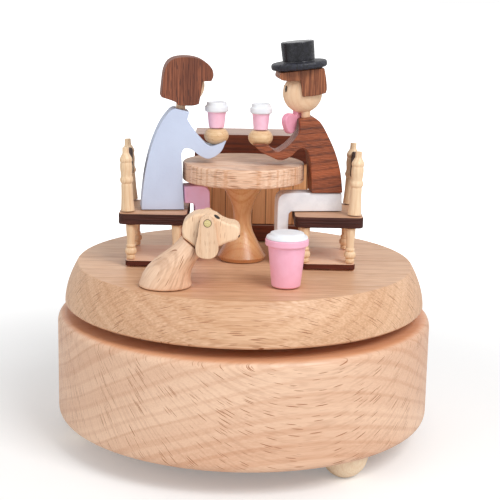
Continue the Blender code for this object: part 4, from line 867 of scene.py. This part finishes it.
def oval(size, columns=24, rows=16):
    """A ball that is drawn out to these half lengths."""
    bm = bmesh.new()
    bmesh.ops.create_uvsphere(bm, u_segments=columns, v_segments=rows, radius=1.0)
    bmesh.ops.scale(bm, verts=bm.verts, vec=[half * MM for half in size])
    return bm


print("figures stand at", {side: round(put_at.translation.x, 4) for side, put_at in stand.items()})

# %% Clothes
dress = drawn_piece("left", "blue_dress", [
    (-13.8, 0.3, 1), (-13.5, 5.5), (-12.4, 13.5), (-10.5, 21.0), (-7.9, 27.2), (-4.9, 31.3),
    (-3.5, 32.1, 1), (1.0, 31.0, 1), (0.4, 28.7, 1), (2.6, 25.3), (5.0, 22.4), (7.6, 20.3),
    (10.0, 20.8), (12.6, 22.0, 1), (10.8, 18.4), (7.2, 16.4), (4.2, 17.5), (1.6, 19.4),
    (-0.4, 19.6), (-1.4, 18.0, 1), (-0.4, 0.3, 1),
], 8.5, 0.6, pale_blue, "left_dress", "pale_blue_paint")
drawn_piece("left", "pink_trousers", [
    (-0.2, 2.1, 1), (-0.5, 7.6, 1), (5.6, 7.6), (7.3, 6.6), (7.8, 4.6), (7.9, -14.3, 1),
    (3.2, -14.3, 1), (3.1, 0.8), (2.4, 2.0),
], 7.0, 0.5, leg_pink, "left_trousers", "pink_paint")
coat = drawn_piece("right", "walnut_coat", [
    (-2.9, 29.4, 1), (1.8, 30.0, 1), (3.7, 28.5), (6.0, 24.8), (8.8, 18.9), (10.6, 12.8),
    (11.5, 6.3, 1), (1.6, 6.3, 1), (1.3, 12.0), (0.5, 18.2), (-1.0, 20.2), (-3.0, 19.9),
    (-5.2, 17.9), (-8.4, 16.6), (-11.6, 17.7), (-15.0, 19.4), (-17.2, 21.6, 1),
    (-13.2, 21.6), (-9.7, 19.3), (-7.2, 20.4), (-4.5, 22.9), (-2.8, 25.6),
], 8.5, 1.0, coat_wood, "right_coat", "walnut")
drawn_piece("right", "white_trousers", [
    (11.6, 0.3, 1), (11.4, 6.0, 1), (-6.4, 6.0), (-8.2, 5.2), (-8.9, 3.2), (-8.8, -14.3, 1),
    (-5.4, -14.3, 1), (-5.4, -0.7), (-4.6, 0.3, 1),
], 7.0, 0.5, white, "right_trousers", "white_paint")
print("clothes", dress.name, coat.name, "and two pairs of trousers")

# %% [markdown]
# ## Heads and hair
# A head is a turned bead on a thin neck, slightly flattened to the thickness of the board.
# The hair is a thicker walnut block with well-rounded edges. It takes in the head, which
# only shows where the block is cut away. The guest on the right has a small dark eye on
# each side, a thin oval set into the bead.

# %% Heads and hair
HEAD_THICKNESS = 4.0
NECK_RADIUS = 1.45
NECK_IN_COLLAR = 2.5
NECK_UNDER_HEAD = 3.1
head_wood = wood(
    "maple_head", (250, 218, 184), (232, 190, 150), "Z", (0.02, 0.02, 0), ring=0.0012,
    strength=(0.30, 0.25, 0.30), relief=0.08,
)


def make_head(side, head, neck, radius):
    """A bead with its neck below it."""
    bm = oval((radius, HEAD_THICKNESS, radius), 48, 32)
    bm.transform(move(head[0], 0, head[1]))
    low, high = neck[1] - NECK_IN_COLLAR, head[1] - NECK_UNDER_HEAD
    bmesh.ops.create_cone(
        bm, cap_ends=True, segments=32, radius1=NECK_RADIUS * MM, radius2=NECK_RADIUS * MM,
        depth=(high - low) * MM, matrix=move(neck[0], 0, (low + high) / 2),
    )
    bm.transform(stand[side])
    hand_over(f"{side}_turned_head", bm, [head_wood], [f"{side}_head"], "pale_wood")


make_head("left", (0.3, 38.9), (-1.4, 31.8), 5.7)
make_head("right", (-1.5, 37.2), (-0.3, 29.7), 6.2)
drawn_piece("left", "left_bob", [
    (-7.8, 35.6, 1), (-3.4, 34.1), (-2.5, 33.1, 1), (1.8, 33.0), (3.9, 33.5, 1),
    (4.4, 36.5), (5.0, 40.5, 1), (7.7, 40.6, 1), (8.3, 42.4), (7.7, 44.6), (5.4, 46.7),
    (2.0, 47.8), (-2.7, 47.7), (-5.4, 46.4), (-6.8, 43.7), (-7.4, 39.5),
], 9.8, 1.9, hair_wood, "left_hair", "walnut", 6)
drawn_piece("right", "right_crop", [
    (-9.3, 43.7, 1), (-9.5, 42.1), (-8.2, 41.3), (-2.9, 41.3, 1), (-2.2, 36.4, 1),
    (1.7, 36.8), (5.0, 37.6, 1), (5.3, 39.0), (4.9, 42.5), (4.3, 45.3, 1),
], 9.8, 0.9, short_hair_wood, "right_hair", "walnut", 5)
for way, label in ((-1, "near"), (1, "far")):
    eye = oval((0.28, 0.52, 1.05))
    eye.transform(stand["right"] @ move(-7.0, way * 1.7, 38.5))
    hand_over(f"right_eye_{label}", eye, [ink], (), "black_paint")
print("heads with hair, and two eyes")

# %% [markdown]
# ## Hands and small cups
# Both hands of a guest are one maple bead, held in the bend of the sleeve, with a small
# lidded cup on top. The cup is turned in one piece and painted in two colours: faces above
# the foot of the lid get the white paint.

# %% Hands and small cups
LID_FOOT = 5.0 * MM
BEAD_SIZE = (3.9, 2.9)
BEAD_TOP = 2.2
hand_wood = wood(
    "maple_hand", (240, 208, 166), (210, 166, 118), "X", (0, 0.004, 0.006), ring=0.0011,
    strength=(0.35, 0.25, 0.35), fleck=(176, 128, 84), share=0.12, fleck_size=0.25,
    relief=0.1, top_flecks=1.0,
)
small_cup_pink = paint("small_cup_paint", (255, 206, 226), (248, 190, 212), gloss=0.36)


def hand_cup(side, hand, scale):
    """The bead and the cup that it holds."""
    here = stand[side] @ Vector((hand[0] * MM, 0, hand[1] * MM))
    wide, high = BEAD_SIZE
    start = math.asin(BEAD_TOP / high)
    sweep = [start - (start + math.pi / 2) * k / 16 for k in range(17)]
    bead_line = [(0, BEAD_TOP), *[(wide * math.cos(a), high * math.sin(a)) for a in sweep]]
    bead = lathe(bead_line, segments=48)
    bead.transform(Matrix.Translation(here) @ Matrix.Rotation(0.4, 4, "Z"))
    hand_over(f"{side}_hand_bead", bead, [hand_wood], [f"{side}_hands"], "pale_wood")
    rim = 3.7 * scale
    cup = lathe(rounded([
        (0, 7.8), (rim * 0.74, 7.8), (rim * 0.78, 8.1, 0.3), (rim * 0.84, 8.1, 0.3),
        (rim * 0.88, 7.0, 0.4), (rim, 6.8, 0.6), (rim, 5.2, 0.6), (rim * 0.80, 4.9, 0.2),
        (rim * 0.77, 4.2, 0.4), (rim * 0.66, 0.2, 0.2), (rim * 0.60, 0, 0.1), (0, 0),
    ], 5), segments=64)
    second_finish(cup, lambda face, middle: middle.z > LID_FOOT)
    cup.transform(Matrix.Translation(here + Vector((0, 0, 0.0025))))
    looks = [small_cup_pink, white]
    hand_over(f"{side}_small_cup", cup, looks, [f"{side}_hand_cup"], "pink_paint")


hand_cup("left", (9.9, 23.2), 1.0)
hand_cup("right", (-14.4, 23.2), 0.93)
print("small cups in place")

# %% [markdown]
# ## Hat and bow tie
# The top hat is turned and painted black. Its crown is satin, and the thick brim keeps the
# rough of the end grain, so the two have different paints. It sits tilted by six degrees.
# The bow tie is cut from thin board. Its two wings are petals that meet in a pinched knot.
# It is set at an angle, with its near wing low and its far wing behind the collar.

# %% Hat and bow tie
BRIM_TOP = 2.15 * MM
HAT_TILT = 6.3
hat = lathe(rounded([
    (0, 8.3), (5.2, 8.3, 0.4), (5.0, 2.1, 0.3), (8.7, 2.1, 0.9), (8.7, 0, 0.9), (0, 0),
], 8))
second_finish(hat, lambda face, middle: middle.z < BRIM_TOP)
hat.transform(stand["right"] @ move(-2.7, 0, 44.85) @ turned(-HAT_TILT, "Y"))
hand_over("top_hat", hat, [black, felt], ["right_hat"], "black_paint")

upper = [(0.35, 0.9), (1.3, 2.3), (3.5, 3.3), (5.4, 2.5), (6.0, 0.0)]
bow_line = [*upper, *[(x, -z) for x, z in reversed(upper[:-1])]]
bow_line += [*[(-x, -z) for x, z in upper], *[(-x, z) for x, z in reversed(upper[:-1])]]
bow = sawn(flowing(bow_line, 5), 2.0, 0.5, 3)
bow.transform(stand["right"] @ move(-3.7, 0, 29.7) @ turned(45, "Z") @ turned(-30, "Y"))
hand_over("bow_tie", bow, [bow_pink], ["right_bow_tie"], "pink_paint")
print("hat and bow tie in place")

# %% [markdown]
# ## Counter
# Behind the table stands a counter: a dark walnut plinth and top, and between them a front
# of light planks. The planks' joints are burnt lines, drawn as a mask that repeats every few
# millimetres and feeds both the colour and the bump, so the lines are also shallow grooves.
# The counter's top face is paler than its sides. It stands a little right of the
# middle.

# %% Counter finishes
PLANK_WIDTH = 0.0046
dark_walnut = wood(
    "dark_walnut", (126, 56, 26), (70, 24, 7), heart=(0, 0.05, 0.12), ring=0.0014,
    strength=(0.40, 0.35, 0.35), fleck=(40, 16, 10), share=0.3, fleck_size=0.7, gloss=0.45,
    away=0.1,
)
walnut_top = wood(
    "walnut_top_face", (206, 172, 156), (152, 112, 96), heart=(0, 0.02, 0.05), ring=0.0014,
    strength=(0.30, 0.30, 0.45), gloss=0.4,
)
planks = wood(
    "counter_planks", (248, 192, 138), (204, 138, 90), "Z", (0.02, 0.04, 0), ring=0.0013,
    strength=(0.35, 0.30, 0.40), gloss=0.5,
)
tree = planks.node_tree
within = reckon(tree, "WRAP", place_along(planks, "X"), PLANK_WIDTH, 0.0)
off = reckon(tree, "ABSOLUTE", reckon(tree, "SUBTRACT", within, PLANK_WIDTH / 2))
line = between(tree, off, 0.0, 0.00022, 1.0, 0.0)
tint(planks, line, (84, 46, 28))
bump = tree.nodes["Principled BSDF"].inputs["Normal"].links[0].from_node
grain_height = bump.inputs["Height"].links[0].from_socket
feed(bump, {"Height": reckon(tree, "SUBTRACT", grain_height, line)})
print("plank joints every", PLANK_WIDTH, "m")

# %% Counter
COUNTER_PLACE = (0.0022, 0.0363)
COUNTER_SIZE = (39.6, 18.2)
low = FLOOR + GAP
for label, inset, height, looks, slot in (
    ("plinth", 0.0, 5.5, [walnut_top, dark_walnut], "dark_walnut"),
    ("panel", 1.6, 21.0, [planks, planks], "honey_wood"),
    ("top", 0.0, 9.5, [walnut_top, dark_walnut], "dark_walnut"),
):
    size = (COUNTER_SIZE[0] - inset, COUNTER_SIZE[1] - inset, height)
    high = low + height * MM
    piece = lying_board(size, 0.4, 0.4, 3, (*COUNTER_PLACE, high), 0.95)
    hand_over(f"cafe_counter_{label}", piece, looks, [f"counter_{label}"], slot)
    low = high + GAP
print("counter from", FLOOR + GAP, "to", round(high, 4), "m")

# %% [markdown]
# ## Dog
# The dog is carved from two blocks. The body is a rounded slope cut off square at the neck,
# and the head is a sawn profile with generous rounding. The ears are thin cut-outs with a
# dark rear edge below the peg, on the side away from the key lamp: partly the burnt cut and
# partly painted shade. They are held by a small peg with a dark rim. A dark oval makes each
# eye, and a dot each nostril, and both are laid on the nearest place of the head's surface.
# The body is built from stacked ovals. Each ring gives the lowest and the highest x of the
# section and its width, and a smooth curve fills in the rings between.

# %% Dog finishes
dog_wood = wood(
    "dog_beech", (250, 214, 184), (214, 166, 128), "rising", (0, -0.002, 0.092), ring=0.0026,
    strength=(0.14, 0.24, 0.30), fleck=(150, 92, 56), fleck_size=1.4, gloss=0.5,
    top_flecks=0.9, away=0.048, lines=0.3,
)
dog_head_wood = wood(
    "dog_head_beech", (255, 224, 190), (232, 188, 150), "Z", (0.03, 0.02, 0), ring=0.0016,
    strength=(0.10, 0.22, 0.30), fleck=(180, 126, 88), share=0.4, fleck_size=0.7, gloss=0.5,
    top_flecks=0.8, away=0.036, lines=0.2,
)
ear_wood = wood(
    "ear_maple", (244, 212, 180), (216, 172, 134), "Z", (0.01, 0.02, 0), ring=0.0010,
    strength=(0.30, 0.25, 0.40), fleck=(186, 140, 104), share=0.3, fleck_size=0.4, gloss=0.5,
    top_flecks=1.0,
)
peg_wood = wood(
    "peg_bamboo", (236, 220, 164), (196, 176, 112), "Y", (0.01, 0.02, 0), ring=0.0006,
    strength=(0.5, 0.2, 0.4), fibre=0.0002, gloss=0.45,
)
print("dog finishes", dog_wood.name, dog_head_wood.name, ear_wood.name, peg_wood.name)

# %% Dog body
DOG = Matrix.Translation((-0.0230, -0.0370, FLOOR + GAP))
DOG_HALF_WIDTH = 8.0
DOG_SIDES = 64
sections = [
    (0.0, -8.0, 7.2, 0.975), (0.4, -8.2, 7.4, 1.0), (2.0, -7.6, 7.1, 0.98), (4.5, -6.5, 7.3, 0.93),
    (7.0, -4.4, 8.4, 0.85), (9.2, -1.7, 9.9, 0.75), (11.6, 1.4, 10.6, 0.66),
    (14.6, 4.2, 10.9, 0.62), (17.0, 5.2, 11.0, 0.6),
]


def smooth_rows(rows, steps=4):
    """Rows of numbers, with smooth rows between them."""
    filled = []
    for index in range(len(rows) - 1):
        following = rows[min(index + 2, len(rows) - 1)]
        around = [rows[max(index - 1, 0)], rows[index], rows[index + 1], following]
        for step in range(steps):
            t = step / steps
            weights = (
                -t**3 / 2 + t**2 - t / 2, 1.5 * t**3 - 2.5 * t**2 + 1,
                -1.5 * t**3 + 2 * t**2 + t / 2, t**3 / 2 - t**2 / 2,
            )
            filled.append([sum(w * row[k] for w, row in zip(weights, around)) for k in range(4)])
    return filled + [list(rows[-1])]


bm = bmesh.new()
rings = []
for height, low, high, width in smooth_rows(sections):
    ring = []
    for turn in [2 * math.pi * k / DOG_SIDES for k in range(DOG_SIDES)]:
        x = (low + high) / 2 + (high - low) / 2 * math.cos(turn)
        y = width * DOG_HALF_WIDTH * math.sin(turn)
        ring.append(bm.verts.new((x * MM, y * MM, height * MM)))
    rings.append(ring)
for first, second in zip(rings, rings[1:]):
    for k in range(DOG_SIDES):
        following = (k + 1) % DOG_SIDES
        bm.faces.new((first[k], first[following], second[following], second[k]))
bm.faces.new(rings[0])
bm.faces.new(rings[-1])
slope = math.radians(38.5)
cut = bmesh.ops.bisect_plane(
    bm, geom=[*bm.verts, *bm.edges, *bm.faces], plane_co=(0.0065, 0, 0.0134),
    plane_no=(math.sin(slope), 0, math.cos(slope)), clear_outer=True,
)["geom_cut"]
bmesh.ops.holes_fill(bm, edges=[part for part in cut if isinstance(part, bmesh.types.BMEdge)])
bm.transform(DOG)
hand_over("dog_sitting_body", bm, [dog_wood], ["dog_body"], "oak")
print("dog body of", len(rings), "rings")

# %% Dog head, ears and eyes
BURNT_AND_SHADED_BELOW = 20.7 * MM
PEG_CORE = 1.0 * MM
head_line = [
    (4.9, 15.1, 1), (4.5, 17.1), (5.0, 19.3), (6.4, 20.9), (8.4, 22.0), (11.3, 22.3),
    (14.0, 21.7), (16.0, 20.4), (18.0, 19.6), (19.8, 19.3), (21.0, 18.4), (21.4, 17.0),
    (20.9, 15.3), (19.8, 14.4), (17.6, 13.7), (15.4, 12.6), (11.6, 10.9), (10.0, 11.0, 1),
]
head = sawn(flowing(head_line), 8.4, 2.9, 8)
head.transform(DOG)
skin = BVHTree.FromBMesh(head)
hand_over("dog_carved_head", head, [dog_head_wood], ["dog_head"], "oak")
ear_line = [
    (11.2, 22.2), (9.8, 20.7), (9.1, 16.1), (8.5, 12.7), (9.2, 10.2), (11.5, 9.4),
    (13.9, 9.8), (15.2, 11.8), (14.8, 15.6), (14.0, 19.6), (12.8, 21.9),
]


def rear_edge(face, middle):
    """Whether a face lies on the ear's rear edge, below the peg."""
    return face.normal.x < -0.25 and middle.z < BURNT_AND_SHADED_BELOW and abs(face.normal.y) < 0.8


def lay_on_head(size, near, slope):
    """A flat oval on the head at the place nearest to this one, turned by the slope."""
    touch, out, _, _ = skin.find_nearest(DOG @ Vector([value * MM for value in near]))
    wide = Vector((math.cos(math.radians(slope)), 0, math.sin(math.radians(slope))))
    wide = (wide - out * wide.dot(out)).normalized()
    lying = Matrix((wide, out.cross(wide), out)).transposed().to_4x4()
    spot = oval(size)
    spot.transform(Matrix.Translation(touch) @ lying)
    return spot


for way, label, eye_place in (
    (-1, "near", (14.6, -3.4, 21.3)),
    (1, "far", (14.6, 4.4, 20.4)),
):
    ear = sawn(flowing(ear_line), 1.7, 0.25, 2)
    # Painted shade: the rear edge faces away from the key lamp and is dark below the peg, partly
    # the burnt cut and partly painted shade.
    second_finish(ear, rear_edge)
    ear.transform(DOG @ move(0, way * 5.35, 0))
    looks = [ear_wood, burnt]
    hand_over(f"dog_ear_{label}_cutout", ear, looks, [f"dog_ear_{label}"], "oak")
    eye = lay_on_head((0.98, 0.88, 0.35), eye_place, -50)
    hand_over(f"dog_eye_{label}", eye, [ink], (), "black_paint")
    nostril = lay_on_head((0.48, 0.40, 0.20), (21.3, way * 3.6, 15.7), 0)
    hand_over(f"dog_nostril_{label}", nostril, [ink], (), "black_paint")
peg = lathe(rounded([(0, 6.4), (1.2, 6.4, 0.3), (1.2, -6.4, 0.3), (0, -6.4)], 4), segments=32)
second_finish(peg, lambda face, middle: math.hypot(middle.x, middle.y) > PEG_CORE)
peg.transform(DOG @ move(12.0, 0, 19.9) @ turned(90, "X"))
hand_over("dog_peg", peg, [peg_wood, burnt], ["dog_ear_peg"], "pale_wood")
print("dog head, ears, eyes and nostrils in place")

# %% [markdown]
# ## Large cup
# The cup in front is turned from one block and painted: a pink tapering side with a band
# under the rim, and a white lid with a raised disc. The lid's edges are well rounded, which
# gives it the look of thick glaze.

# %% Large cup
CUP = Vector((0.0122, -0.0360, FLOOR + GAP))
CUP_HEIGHT = 0.0148
body_line = rounded([
    (0, 14.5), (6.0, 14.5), (6.4, 14.3, 0.3), (6.4, 12.6, 0.4), (5.6, 12.3, 0.3),
    (5.5, 11.9, 0.3), (4.3, 0.4, 0.4), (3.8, 0, 0.2), (0, 0),
])
hand_over("large_pink_cup", lathe(body_line, CUP), [cup_pink], ["large_cup"], "pink_paint")
lid_line = rounded([
    (0, 1.6), (4.0, 1.6, 0.2), (4.9, 1.4, 0.3), (5.1, 0.9, 0.3), (6.0, 0.4, 0.3),
    (6.2, -0.1, 0.3), (6.1, -0.3, 0.1), (0, -0.3),
])
lid = lathe(lid_line, CUP + Vector((0, 0, CUP_HEIGHT)))
hand_over("large_cup_cap", lid, [white], ["large_cup_lid"], "white_paint")
print("large cup at", [round(value, 4) for value in CUP])

# %% [markdown]
# ## Movement
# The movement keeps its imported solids, because their shapes are already the real ones. Brass
# and steel are metals: their colour is the colour of their reflection, and what makes them
# look machined is the fine brushing in the roughness and the bump. One group gives the
# brushed lines and a faint tarnish, and both metals use it. The mainspring, comb, worm and
# shaft are steel, and the rest is brass. The cover is a thin board.

# %% Metal group and finishes
metal_group, given, result = new_group(
    "brushed_metal",
    {"Place": (0, 0, 0), "Line Width": 0.0002},
    ["Lines", "Tarnish"],
)
tree = metal_group
lines = noise(tree, stretched(tree, given["Place"], 60.0, given["Line Width"]), 1.0, 2.0)
stain = noise(tree, given["Place"], 180.0, 4.0)
feed(result, {"Lines": between(tree, lines, 0.3, 0.7), "Tarnish": between(tree, stain, 0.45, 0.75)})


def metal(name, bright, dull, polish):
    """A machined metal with brushed lines and a little tarnish."""
    made, tree, shader = new_material(name)
    spot = put(tree, "TexCoord").outputs["Object"]
    brushed = put(tree, "Group", {"Place": spot}, node_tree=metal_group).outputs
    shader.inputs["Metallic"].default_value = 1.0
    colour = blend(tree, brushed["Tarnish"], bright, dull)
    rough = between(tree, brushed["Lines"], 0.0, 1.0, polish, polish + 0.18)
    surface(tree, shader, colour, rough, brushed["Lines"], 0.15, 0.1 * MM)
    return made


brass = metal("brass", (226, 192, 116), (178, 138, 72), 0.22)
steel = metal("steel", (198, 199, 202), (150, 150, 154), 0.20)
cover_board = wood(
    "cover_board", (214, 176, 138), (170, 126, 90), ring=0.0019, gloss=0.55,
    strength=(0.30, 0.30, 0.40),
)
finishes = {
    brass: [
        "bedplate", "spring_barrel", "drive_wheel", "note_cylinder", "governor_wheel",
        "shaft_flange",
    ],
    steel: ["mainspring", "comb", "winding_shaft", "governor_worm"],
    cover_board: ["base_cover"],
}
for look, names in finishes.items():
    for name in names:
        mesh = nodes[name].data
        mesh.materials.clear()
        mesh.materials.append(look)
print("packed solids that show:", sum(not obj.hide_render for obj in nodes.values()))
